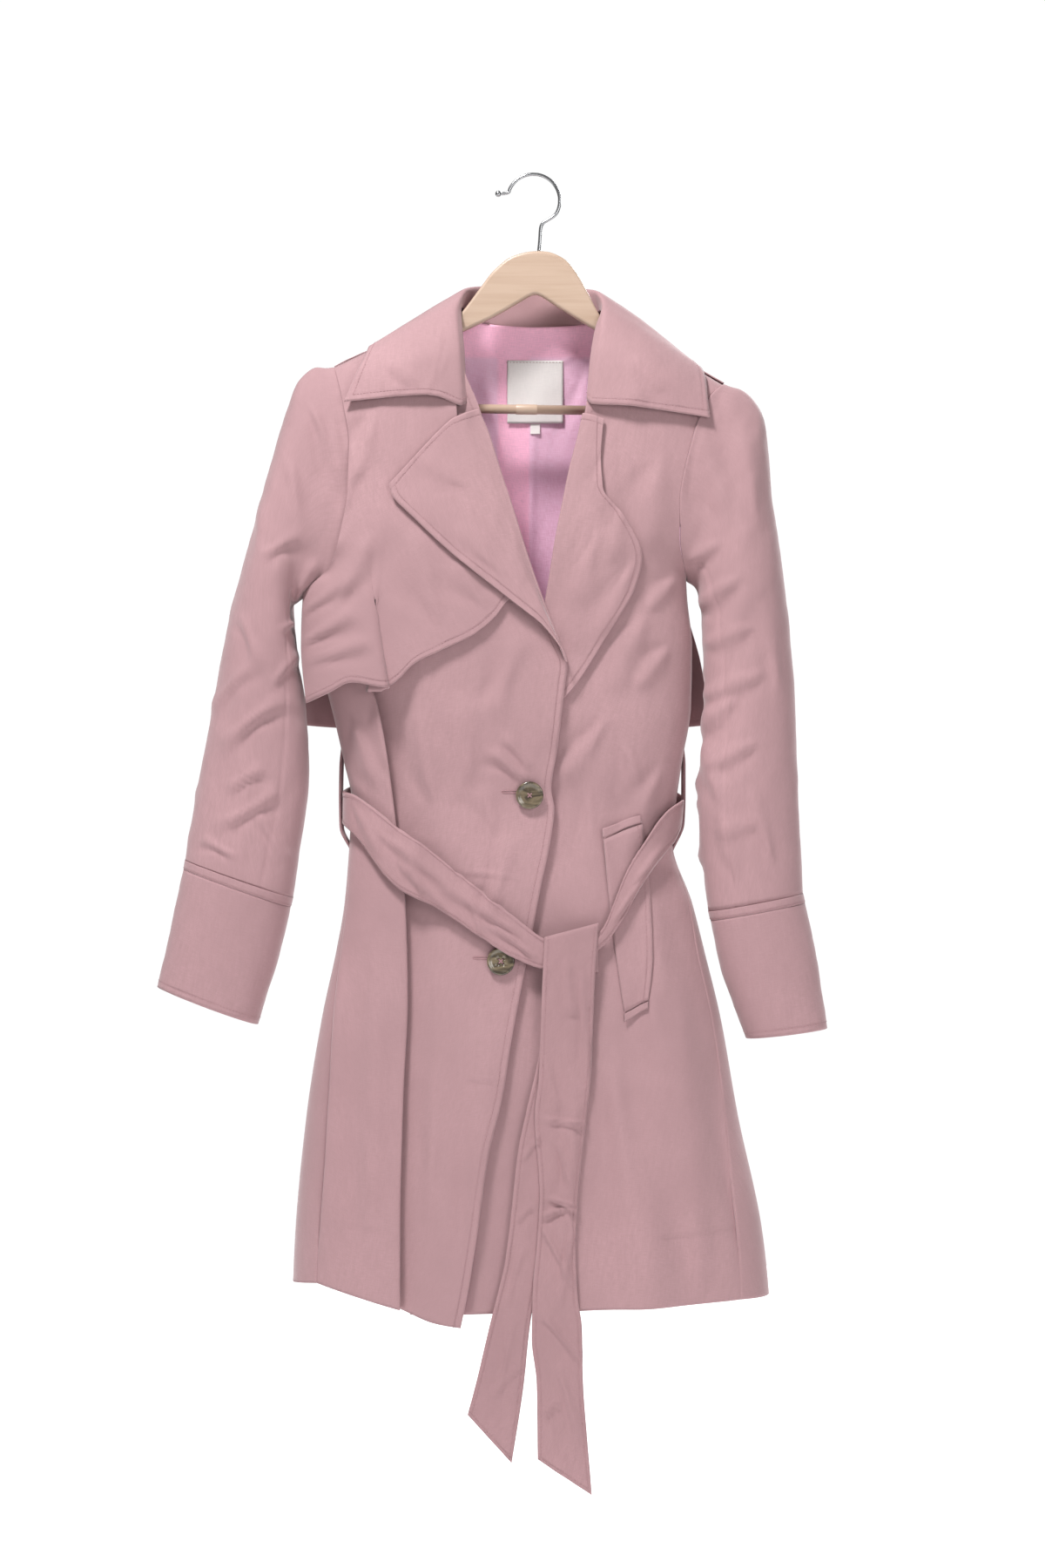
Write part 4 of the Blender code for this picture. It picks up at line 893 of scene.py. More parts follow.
    def pocket(self) -> list[Cloth]:
        """The slanted welt of the left pocket with its two end tabs.

        Returns:
            The welt and its tabs.
        """
        made = [Cloth("pocket_welt_cloth", self.strip(self.welt, 40, 14, self.welt_lift).swapaxes(0, 1),
                      ("pocket_welt",), stitched={"last_column": 5.5})]
        for name, table in (("upper", self.welt_upper), ("lower", self.welt_lower)):
            made.append(Cloth(f"pocket_tab_{name}_cloth", self.strip(table, 6, 24, self.welt_lift + 0.4),
                              (f"pocket_tab_{name}",)))
        return made

    def build(self) -> None:
        """Make every piece of the body."""
        for piece in [self.right_front(), self.left_front(), self.back(), self.storm_flap(), self.back_cape(),
                      *self.pocket()]:
            piece.make(self.wardrobe)


# ---- sleeves and collar

@dataclass
class Sleeves:
    """Both two-seam sleeves with their bands and deep cuffs."""

    wardrobe: Wardrobe
    body: Body
    seam: float = 0.8
    right: Rows = (
        (-207, -197, -240, -431, 28, 0, 1.0), (-225, -196, -246, -435, 33, -1, 0.8),
        (-243, -208, -252, -440, 38, -2, 0.5), (-256, -238, -254, -447, 42, -3, 0.25),
        (-270, -285, -252, -459, 45, -4, 0.1), (-284, -336, -248, -476, 46, -5, 0.0),
        (-300, -392, -244, -500, 46, -7, 0.0), (-320, -483, -237, -548, 44, -10, 0.0),
        (-339, -587, -234, -612, 42, -14, 0.0), (-354, -670, -243, -688, 40, -18, 0.0),
        (-358.5, -700, -250, -738, 39, -20, 0.0))
    left: Rows = (
        (190, -214, 152, -410, 28, 0, 1.0), (207, -218, 158, -414, 33, -1, 0.8),
        (222, -231, 163, -419, 38, -2, 0.5), (232, -252, 166, -427, 42, -3, 0.25),
        (237, -290, 168, -440, 45, -4, 0.1), (240, -330, 169, -456, 46, -5, 0.0),
        (247, -378, 170, -478, 46, -7, 0.0), (256, -455, 171, -522, 44, -10, 0.0),
        (263, -550, 169, -580, 42, -14, 0.0), (266, -640, 163, -648, 40, -18, 0.0),
        (270, -734, 175, -752, 39, -20, 0.0))
    seams: Rows = ((0.0, 160, 205), (0.35, 138, 232), (1.0, 118, 248))
    right_cuff: Rows = (
        (-360, -709.5, -252.5, -747.5, 39, -20), (-373, -768, -261, -785, 37, -22),
        (-386, -829, -285, -867, 34, -24))
    left_cuff: Rows = (
        (272, -743.5, 177.5, -761.5, 39, -20), (284, -800, 187, -808, 37, -22), (294, -871, 213, -881, 34, -24))
    right_drape: Drape = Drape()
    left_drape: Drape = Drape()

    def ring(self, front: Rows, back: Rows, angle: Array) -> Array:
        """Points of an armhole: 0 degrees at the shoulder point, 180 at the underarm, front first.

        Args:
            front: the front armhole.
            back: the back armhole.
            angle: degrees round it.

        Returns:
            The points.
        """
        share = (1 - np.cos(np.radians(angle))) / 2
        ahead, behind = even(front, share), even(back, share)
        skin = self.wardrobe.form.skin
        near = np.stack([ahead[..., 0], skin(ahead[..., 0], ahead[..., 1], -1), ahead[..., 1]], axis=-1)
        far = np.stack([behind[..., 0], skin(behind[..., 0], behind[..., 1], 1), behind[..., 1]], axis=-1)
        return np.where((np.sin(np.radians(angle)) >= 0)[..., None], near, far)

    @staticmethod
    def section(row: Array, angle: Array, proud: float = 0.0) -> Array:
        """Points of a flattened section.

        Args:
            row: its outer and inner outline, half depth and middle.
            angle: degrees round it from the outer outline, front first.
            proud: how much deeper it is than the row says.

        Returns:
            The points.
        """
        share = (1 - np.cos(np.radians(angle))) / 2
        sine = np.sin(np.radians(angle))
        x = row[..., 0] + (row[..., 2] - row[..., 0]) * share
        z = row[..., 1] + (row[..., 3] - row[..., 1]) * share
        y = row[..., 5] - (row[..., 4] + proud) * np.sign(sine) * np.abs(sine) ** 0.85
        return np.stack([x, y, z], axis=-1)

    def points(self, table: Rows, front: Rows, back: Rows, down: Array, angle: Array) -> Array:
        """Points of a sleeve.

        Args:
            table: rings from the armhole to the band.
            front: the front armhole.
            back: the back armhole.
            down: share of the sleeve's length.
            angle: angle round the sleeve.

        Returns:
            The points.
        """
        row = even(table, down)
        section = self.section(row, angle)
        chord = self.section(np.asarray(table[0], float), angle)
        chord[..., 1] = section[..., 1]
        return section + row[..., 6:7] * (self.ring(front, back, angle) - chord)

    def sleeve(self, side: str) -> Cloth:
        """One sleeve as a closed tube, with grooves at its two seams.

        Args:
            side: "right" or "left".

        Returns:
            The sleeve.
        """
        right = side == "right"
        table = self.right if right else self.left
        front = self.body.right_armhole if right else self.body.left_armhole
        back = self.body.right_armhole_back if right else self.body.left_armhole_back
        down = np.concatenate([np.linspace(0, 0.4, 76), np.linspace(0.4, 1, 118)[1:]])
        angle = np.linspace(0, 360, 120, endpoint=False)[None, :] + 0 * down[:, None]
        grid = self.points(table, front, back, down[:, None] + 0 * angle, angle)
        grid[0] += (grid[1] - grid[0]) / np.linalg.norm(grid[1] - grid[0], axis=-1, keepdims=True) * self.seam
        around = np.concatenate([grid[:, -1:], grid, grid[:, :1]], axis=1)
        way = normals(around)[:, 1:-1]
        centre = grid.mean(axis=1, keepdims=True)
        if ((grid - centre) * way).sum() < 0:
            way = -way
        ahead, behind = smooth([row[0] for row in self.seams], [row[1:] for row in self.seams], down).T
        gap = np.minimum(np.abs(angle - ahead[:, None]), np.abs(angle - behind[:, None]))
        drape = self.right_drape if right else self.left_drape
        fronts = ease(np.sin(np.radians(angle)) * 2 + 0.4)
        mirror = drape.swell(grid[..., 0] + 31, grid[..., 2] * 0.93 + 57)
        push = drape.swell(grid[..., 0], grid[..., 2]) * fronts + mirror * (1 - fronts)
        push = push * ease(down[:, None] * 14) * ease((1 - down[:, None]) * 14 + 0.2)
        push = push - 1.1 * np.exp(-(gap / 1.6) ** 2) * ease(down[:, None] * 8 + 0.3)
        head = np.exp(-(down[:, None] / 0.035) ** 2) * (down[:, None] > 0.004)
        push = push + 1.3 * head * ease(np.cos(np.radians(angle)) + 0.6)
        grid = grid + way * push[..., None]
        loop = np.concatenate([gap, gap[:, :1]], axis=1)
        outwards = tuple(way[grid.shape[0] // 2, grid.shape[1] // 2])
        return Cloth(f"sleeve_{side}_cloth", grid, (f"sleeve_{side}_upper", f"sleeve_{side}_under"),
                     outwards=outwards, inside=Finish.LINING, closed=True, seams=(loop * 0.7,))

    @staticmethod
    def tube(rings: Array, columns: int = 96) -> Array:
        """Closed rings given by outer and inner outline, half depth and middle."""
        angle = np.linspace(0, 360, columns, endpoint=False)
        return Sleeves.section(np.asarray(rings, float)[:, None, :], angle, 0.5)

    def cuff(self, side: str) -> list[Cloth]:
        """One cuff and the narrow band over it.

        Args:
            side: "right" or "left".

        Returns:
            The cuff and its band.
        """
        table = self.right if side == "right" else self.left
        cuff = self.right_cuff if side == "right" else self.left_cuff
        drape = self.right_drape if side == "right" else self.left_drape
        grid = self.tube(even(cuff, np.linspace(0, 1, 40)))
        centre = grid.mean(axis=1, keepdims=True)
        out = (grid - centre) / np.linalg.norm(grid - centre, axis=-1, keepdims=True)
        t = np.linspace(0, 1, 40)[:, None]
        wave = drape.swell(grid[..., 0] * 1.3 + 11, grid[..., 2] * 1.3)
        grid = grid + out * (wave * ease(8 * t) * 0.7)[..., None]
        made = [Cloth(f"cuff_{side}_cloth", grid, (f"cuff_{side}",), outwards=tuple(out[20, 48]), closed=True,
                      thick=1.4, stitched={"last_row": 7.0})]
        top, low = np.asarray(table[-1][:6], float), np.asarray(cuff[0], float)
        rings = even(np.stack([top + 0.02 * (low - top), low - 0.03 * (low - top)]), np.linspace(0, 1, 9))
        band = self.tube(rings)
        puff = np.sin(np.linspace(0, math.pi, 9))[:, None, None] * 0.2 + 0.3
        way = (band - band.mean(axis=1, keepdims=True))
        band = band + way / np.linalg.norm(way, axis=-1, keepdims=True) * puff
        made.append(Cloth(f"cuff_{side}_band_cloth", band, (f"cuff_{side}_band",), outwards=tuple(way[4, 48]),
                          closed=True, stitched={"last_row": 1.5}))
        return made

    def build(self) -> None:
        """Make both sleeves, their cuffs and bands."""
        for side in ("right", "left"):
            for piece in [self.sleeve(side), *self.cuff(side)]:
                piece.make(self.wardrobe)


@dataclass
class Collar:
    """The notched collar and the two large lapels."""

    wardrobe: Wardrobe
    body: Body
    sections: tuple[Rows, ...] = (
        ((-72, -38, -236), (-77, -44, -240), (-113, -49, -229), (-196, -41, -235)),
        ((-74, -29, -190), (-80, -37, -188), (-125, -43, -196), (-184, -33, -206)),
        ((-77.5, -13, -150), (-84, -17, -140), (-125, -19, -156), (-175, -17, -184)),
        ((-78.5, -3, -136), (-79, -4, -124), (-121, -4, -144), (-171, -4, -174)),
        ((-77.5, 8, -134), (-71, 10, -111), (-116, 11, -138), (-166, 11, -173)),
        ((-52, 27, -150), (-48, 33, -104), (-85, 46, -132), (-130, 46, -184)),
        ((-3, 36, -161), (-3, 44, -102), (-3, 57, -130), (-3, 57, -192)),
        ((42, 27, -152), (42, 33, -106), (79, 46, -138), (124, 48, -192)),
        ((65.5, 8, -138), (60, 10, -114), (108, 11, -146), (161, 12, -191)),
        ((66.5, -3, -140), (67, -4, -128), (112, -4, -156), (166, -4, -195)),
        ((60, -13, -155), (67.5, -17, -143), (113, -19, -168), (171, -17, -207)),
        ((53.5, -29, -190), (62, -37, -188), (110, -43, -203), (173, -33, -232)),
        ((50, -38, -232), (54, -44, -238), (91, -49, -240), (175, -40, -251)))
    right_lapel: tuple[Rows, ...] = (
        ((-62, -243), (-84, -252), (-150, -320)), ((-52, -266), (-90, -297), (-147, -331)),
        ((-41, -301), (-80, -327), (-122, -357)), ((-27, -344), (-57, -366), (-88, -389)),
        ((-10, -398), (-20, -416), (-29, -436)), ((6, -443), (6, -454), (7, -465)),
        ((20, -478), (23, -485), (27, -492)), ((27.5, -497), (28.5, -498.5), (29.5, -500)))
    left_lapel: tuple[Rows, ...] = (
        ((48, -247), (57, -249), (67, -253)), ((43, -270), (54, -279), (64, -290)),
        ((34, -305), (50, -313), (66, -323)), ((27, -340), (58, -346), (88, -353)),
        ((20, -375), (63, -383), (106, -393)), ((12, -425), (56, -424), (99, -423)),
        ((2, -475), (36, -474), (70, -473)), ((-10, -520), (12, -524), (34, -528)),
        ((-22, -552), (-15, -558), (-8, -566)))
    right_lift: tuple[float, float, float] = (2.0, 8.5, 10.5)
    left_lift: tuple[float, float, float] = (2.2, 3.6, 4.5)
    collar_drape: Drape = Drape()
    lapel_drape: Drape = Drape()

    def collar(self) -> Cloth:
        """Stand and fall in one sheet that rolls over at the top.

        Returns:
            The collar.
        """
        dense = even(np.asarray(self.sections, float), np.linspace(0, 1, 150))
        lines = dense.swapaxes(0, 1)
        rise = even(lines[:2], np.linspace(0.06, 0.94, 12))
        fall = even(lines[1:], np.linspace(0.0, 1, 42))
        grid = relaxed(np.concatenate([rise, fall]), 10)
        sag = self.collar_drape.swell(grid[..., 0], grid[..., 2]) * ease(np.linspace(-0.4, 1.6, 54))[:, None]
        front = ease(-grid[..., 1] / 25 + 0.2)
        grid = grid.swapaxes(0, 1)
        way = facing(grid, (0, 0.5, 1))
        grid = grid + way * (np.abs(sag) * (0.3 + 0.7 * front)).T[..., None]
        return Cloth("collar_cloth", grid, ("collar_stand", "collar_fall"), outwards=(0, 0.5, 1), thick=1.6,
                     stitched={"last_column": 6.5, "first_row": 6.5, "last_row": 6.5})

    def lapel(self, side: str) -> Cloth:
        """One lapel, from its roll line over the front.

        Args:
            side: "right" or "left".

        Returns:
            The lapel.
        """
        right = side == "right"
        guides = self.right_lapel if right else self.left_lapel
        lifts = self.right_lift if right else self.left_lift
        lines = np.asarray(guides, float).swapaxes(0, 1)
        across = even(lines, np.linspace(0, 1, 46) ** 1.15).swapaxes(0, 1)
        net = even(across, np.linspace(0, 1, 130))
        x, z = net[..., 0], net[..., 1]
        y = self.wardrobe.skin(x, z) + (0 if right else self.body.sunk(x, z))
        lift = smooth([0, 0.3, 1], lifts, np.linspace(0, 1, 46) ** 1.15)
        own = self.lapel_drape.swell(x, z) * ease(np.linspace(0, 1, 46) * 3)
        grid = np.stack([x, y - lift - np.maximum(own, -0.6), z], axis=-1)
        roll = []
        open_way = 1.0 if right else -1.0
        for angle in np.radians([-75, -45, -15, 15, 45, 75]):
            first = grid[:, 0]
            depth = lift[0] / 2
            roll.append(first + np.array([open_way * 1.9 * math.cos(angle), depth, 0.0])
                        - np.array([0.0, depth * math.sin(angle), 0.0]))
        grid = np.concatenate([np.stack(roll, axis=1), grid], axis=1)
        ends = {"last_column": 6.5, "first_row": 6.5}
        return Cloth(f"lapel_{side}_cloth", grid, (f"lapel_{side}",), thick=1.5, stitched=ends)

    def build(self) -> None:
        """Make the collar and both lapels."""
        for piece in (self.collar(), self.lapel("right"), self.lapel("left")):
            piece.make(self.wardrobe)


# ---- belt and inside

@dataclass
class Belt:
    """The belt round the waist, folded over at the front, with its tails and loops."""

    wardrobe: Wardrobe
    body: Body
    lift: float = 8.5
    back_lift: float = 2.6
    right: Rows = (
        (-191, -630, -192, -662), (-183, -632, -176, -680), (-144, -663, -141, -727), (-112, -687, -97, -750),
        (-69, -721, -60, -775), (-25, -755, -24, -798), (7, -779, 7, -809), (33, -788, 33, -812))
    left: Rows = (
        (33.4, -783, 33.4, -800), (61, -772, 61, -789), (84, -722, 88, -755), (106, -678, 112, -712),
        (126, -650, 133, -680), (141, -638, 139, -664))
    back_table: Rows = ((180, -630, -662), (150, -621, -669), (90, -617, -667), (30, -626, -672), (0, -638, -664))
    tail_long: Rows = (
        (7, -780, 61, -766, 11.8), (5, -815, 58, -808, 11.0), (1, -918, 53, -918, 4.6), (-3, -957, 49, -957, 3.6),
        (2, -1030, 40, -1040, 3.4), (0, -1074, 38, -1090, 3.4), (-5, -1129, 40, -1135, 3.4),
        (-6, -1176, 44, -1165, 3.4), (-1, -1223, 45, -1215, 3.4), (0, -1296, 54, -1332, 3.4))
    tail_short: Rows = (
        (5, -820, 34, -820, 4.2), (3, -880, 32, -880, 1.6), (-11, -949, 28, -949, 1.6),
        (-20, -993, 24, -995, 1.6), (-26, -1048, 16, -1052, 1.6), (-32, -1096, 3, -1105, 1.6),
        (-49, -1167, -8, -1165, 1.6), (-61, -1218, -14, -1222, 1.6), (-70, -1252, -26, -1300, 1.6))
    tail_turn: float = 3.1
    tail_back_end: float = -812.0
    hem_line: float = -1150.0
    loop_width: float = 7.0
    loop_twist: float = 0.35
    loop_draw: tuple[float, float] = (4.5, 3.0)
    loops: tuple[tuple[str, Rows], ...] = (
        ("right", ((-203.4, -583), (-205.5, -605), (-206, -635), (-205.5, -665), (-196.4, -693))),
        ("left", ((152.8, -583), (154.5, -605), (154.5, -635), (153.5, -662), (143.8, -694))))
    drape: Drape = Drape()
    tail_drape: Drape = Drape()

    def front(self, side: str) -> Cloth:
        """One half of the belt over the front.

        Args:
            side: "right" or "left".

        Returns:
            The strip.
        """
        table = self.right if side == "right" else self.left
        grid = self.body.strip(table, 150 if side == "right" else 90, 18, self.lift)
        x, z = grid[..., 0], grid[..., 2]
        t = np.linspace(0, 1, 18)[:, None]
        crown = 1.1 * np.sin(math.pi * t)
        grid[..., 1] -= np.maximum(self.drape.swell(x, z), -1.5) + crown
        return Cloth(f"belt_{side}_cloth", grid, (f"belt_{side}",), finish=Finish.BELT, thick=1.6,
                     stitched={"first_row": 4.0, "last_row": 4.0},
                     rests_on=("front_right_cloth", "front_left_cloth"))

    def back(self) -> Cloth:
        """The belt round the back, from side to side.

        Returns:
            The strip.
        """
        table = np.asarray(self.back_table, float)
        angle = np.linspace(180, 0, 150)
        top, low = smooth(180 - table[:, 0], table[:, 1:], 180 - angle).T
        t = np.linspace(0, 1, 18)[:, None]
        z = top * (1 - t) + low * t
        grid = self.wardrobe.form.around(angle + 0 * z, z)
        sideways = np.abs(np.cos(np.radians(angle))) ** 4
        lift = self.back_lift + (self.lift - self.back_lift) * sideways + 1.0 * np.sin(math.pi * t)
        push = self.wardrobe.back.swell(grid[..., 0], z) * ease((grid[..., 1] - 6) / 22)
        own = np.maximum(self.drape.swell(-grid[..., 0], z), -1) * 0.7
        grid = grid + facing(grid, (0, 1, 0)) * (lift + push + own)[..., None]
        return Cloth("belt_back_cloth", grid, ("belt_back",), outwards=(0, 1, 0), finish=Finish.BELT, thick=1.6,
                     stitched={"first_row": 4.0, "last_row": 4.0}, rests_on=("back_cloth",))

    def tail(self, table: Rows, rows: int, share: float) -> Array:
        """A tail that hangs in front of the coat, straight down where it hangs below the hem.

        Args:
            table: left and right edge and lift, from the top down.
            rows: points down it.
            share: how much of the tails' creases it takes.

        Returns:
            Its grid of points.
        """
        line = even(table, np.linspace(0, 1, rows))
        s = np.linspace(0, 1, 20)
        x = line[:, :1] * (1 - s) + line[:, 2:3] * s
        z = line[:, 1:2] * (1 - s) + line[:, 3:4] * s
        y = self.wardrobe.skin(x, np.maximum(z, self.hem_line)) - line[:, 4:5]
        own = self.tail_drape.swell(x, z) * share
        return np.stack([x, y - np.maximum(own, -0.5), z], axis=-1)

    def build(self) -> None:
        """Make the belt's strips, its tails and its two side loops."""
        for piece in (self.front("right"), self.front("left"), self.back()):
            piece.make(self.wardrobe)
        grid = self.tail(self.tail_long, 190, 1.0)
        top = grid[0]
        drop = self.tail_back_end - top[:, 2]
        over = [top + np.stack([0 * drop, 0 * drop + 2 * self.tail_turn, drop * share], axis=-1)
                for share in np.linspace(1, 0.1, 7)]
        over += [top + np.array([0, self.tail_turn * (1 + math.cos(a)), self.tail_turn * math.sin(a)])
                 for a in np.radians(np.linspace(0, 180, 13)[:-1])]
        grid = np.concatenate([np.array(over), grid])
        stitched = {"first_column": 4.0, "last_column": 4.0, "last_row": 4.0}
        Cloth("belt_tail_long_cloth", grid, ("belt_tail_long",), finish=Finish.BELT, thick=1.4,
              stitched=stitched, rests_on=("belt_right_cloth",)).make(self.wardrobe)
        Cloth("belt_tail_short_cloth", self.tail(self.tail_short, 150, 0.6), ("belt_tail_short",),
              finish=Finish.BELT, thick=1.2, stitched=stitched,
              rests_on=("front_left_cloth",)).make(self.wardrobe)
        for side, route in self.loops:
            path = even(route, np.linspace(0, 1, 40))
            y = np.linspace(1.5 - self.loop_width / 2, 1.5 + self.loop_width / 2, 6)
            grid = np.zeros((40, 6, 3))
            grid[..., 0], grid[..., 2], grid[..., 1] = path[:, :1], path[:, 1:], y
            inwards = 1 if side == "right" else -1
            draw = self.loop_draw[0] + self.loop_draw[1] * ease((np.linspace(0, 1, 40)[:, None] - 0.78) / 0.22)
            grid[..., 0] += inwards * ((y - 1.5) * self.loop_twist + draw)
            outwards = (-1, 0, 0) if side == "right" else (1, 0, 0)
            Cloth(f"belt_loop_{side}_cloth", grid, (f"belt_loop_{side}",), finish=Finish.BELT, outwards=outwards,
                  thick=2.0, rests_on=("front_right_cloth",)).make(self.wardrobe)


@dataclass
class Inside:
    """The lining of the back in the neck, its bare label and the size tag."""

    wardrobe: Wardrobe
    lining: Rows = ((-79, 64, -153), (-88, 74, -190), (-84, 72, -260), (-72, 66, -340), (-60, 60, -460))
    lining_top: Rows = ((-79, -157), (-60, -161), (-1, -165), (45, -163), (64, -161))
    lining_depth: float = 3.0
    label: tuple[float, float, float, float] = (-31.0, 27.0, -184.0, -249.0)
    size_tag: tuple[float, float, float, float] = (-7.0, 3.0, -249.4, -260.0)
    label_depth: float = 5.6
    stripe: tuple[float, float] = (-42.0, -7.0)
    raised: float = 15.0

    def lining_back(self) -> Cloth:
        """The shot lining, its sheen painted as a brighter band under the collar and a brighter stripe beside the
        centre pleat.

        Returns:
            The lining.
        """
        rows, columns = 90, 70
        table = even(self.lining, np.linspace(0, 1, rows))
        s = np.linspace(0, 1, columns)
        x = table[:, :1] * (1 - s) + table[:, 1:2] * s
        top = by_place(self.lining_top, x[0])
        t = np.linspace(0, 1, rows)[:, None]
        z = table[:, 2:3] + (top - table[0, 2]) * (1 - t)
        depth = self.lining_depth + 1.4 * (1 - t) ** 2 + 0 * x
        z = z + self.raised * (1 - t) ** 6 * ease((x + 90) / 20) * ease((75 - x) / 20)
        pleat = 1.6 * np.exp(-((x + 5 - 0.02 * (z + 300)) / 4.0) ** 2) * ease((-175 - z) / 60)
        soft = Rumple(0.35, 46, 5).swell(x, z) + Crease(-62, -172, -30, -300, 7, 1.1).swell(x, z) \
            + Crease(58, -176, 36, -270, 8, 1.2).swell(x, z) + Crease(20, -190, 56, -168, 5, 0.8).swell(x, z)
        y = self.wardrobe.form.skin(x, z, 1) - depth - pleat - np.maximum(soft, -1.0) * ease(t * 6)
        low, high = self.stripe
        # painted sheen: the shot cloth's change of colour with the angle of view is painted by place, as a band
        # and a stripe
        painted_shot_sheen = ease((z + 184) / 6) + ease((x - low) / 2.5) * ease((high - x) / 2.5)
        return Cloth("lining_cloth", np.stack([x, y, z], axis=-1), ("lining_back",), finish=Finish.LINING,
                     thick=0.9, tone=np.clip(painted_shot_sheen, 0, 1), rests_on=("back_cloth",))

    def patch(self, name: str, box: tuple[float, float, float, float], node: str, curl: float,
              stitched: dict[str, float]) -> Cloth:
        """A small rectangle on the inside of the back.

        Args:
            name: the piece's name.
            box: left, right, top and lower edge.
            node: the CAD node it replaces.
            curl: how far its lower edge stands off.
            stitched: its stitched edges.

        Returns:
            The patch.
        """
        left, right, top, low = box
        x = np.linspace(left, right, 24)[None, :] + np.zeros((24, 1))
        z = np.linspace(top, low, 24)[:, None] + np.zeros((1, 24))
        t = np.linspace(0, 1, 24)[:, None]
        y = self.wardrobe.form.skin(x, z, 1) - self.label_depth + 0.3 - curl * t ** 2
        y = y - 0.35 * np.sin(x / 6.5 + 2.2 * t) * t
        return Cloth(name, np.stack([x, y, z], axis=-1), (node,), finish=Finish.LABEL, thick=0.6,
                     stitched=stitched, rests_on=("lining_cloth",))

    def build(self) -> None:
        """Make the lining, the label and the tag."""
        for piece in (self.lining_back(),
                      self.patch("neck_label_cloth", self.label, "neck_label", 0.8,
                                 {"first_row": 2.0}),
                      self.patch("size_tag_cloth", self.size_tag, "size_tag", 0.6, {})):
            piece.make(self.wardrobe)


# ---- hard pieces

def smooth_closed(points: Rows, steps: int, passes: int) -> Array:
    """A closed outline read evenly and softened.

    Args:
        points: corners of the outline.
        steps: points of the result.
        passes: how often each point moves half way to its neighbours' middle.

    Returns:
        The outline.
    """
    ring = np.asarray(points + points[:1], float)
    run = run_along(ring)
    at = np.linspace(0, run[-1], steps, endpoint=False)
    line = np.stack([np.interp(at, run, ring[:, k]) for k in range(2)], axis=1)
    for _ in range(passes):
        line = line + 0.5 * ((np.roll(line, 1, axis=0) + np.roll(line, -1, axis=0)) / 2 - line)
    return line


def mesh_piece(name: str, points: Array, faces: list, material: bpy.types.Material) -> bpy.types.Object:
    """An object of points in millimetres, with its faces turned outwards.

    Args:
        name: the object's name.
        points: one row for each point.
        faces: indices of each face's corners.
        material: its finish.

    Returns:
        The object, linked to the scene.
    """
    mesh = bpy.data.meshes.new(name)
    mesh.from_pydata((np.asarray(points, float) * MM).tolist(), [], faces)
    body = bmesh.new()
    body.from_mesh(mesh)
    bmesh.ops.remove_doubles(body, verts=body.verts, dist=1e-6)
    bmesh.ops.recalc_face_normals(body, faces=body.faces)
    body.to_mesh(mesh)
    body.free()
    mesh.polygons.foreach_set("use_smooth", np.ones(len(mesh.polygons), bool))
    mesh.materials.append(material)
    return linked(name, mesh)


def tube_along(path: Array, radii: Array, sides: int = 28) -> tuple[Array, list]:
    """A round tube in the XZ plane, closed at both ends.

    Args:
        path: centre points, across and height.
        radii: radius at each.
        sides: points round it.

    Returns:
        Its points and faces.
    """
    along = np.gradient(path, axis=0)
    along /= np.linalg.norm(along, axis=1, keepdims=True)
    side = np.stack([-along[:, 1], along[:, 0]], axis=1)
    turn = np.linspace(0, 2 * math.pi, sides, endpoint=False)
    rings = np.zeros((len(path), sides, 3))
    rings[..., 0] = path[:, :1] + side[:, :1] * radii[:, None] * np.cos(turn)
    rings[..., 2] = path[:, 1:] + side[:, 1:] * radii[:, None] * np.cos(turn)
    rings[..., 1] = radii[:, None] * np.sin(turn)
    return rings.reshape(-1, 3), ring_faces(len(path), sides)


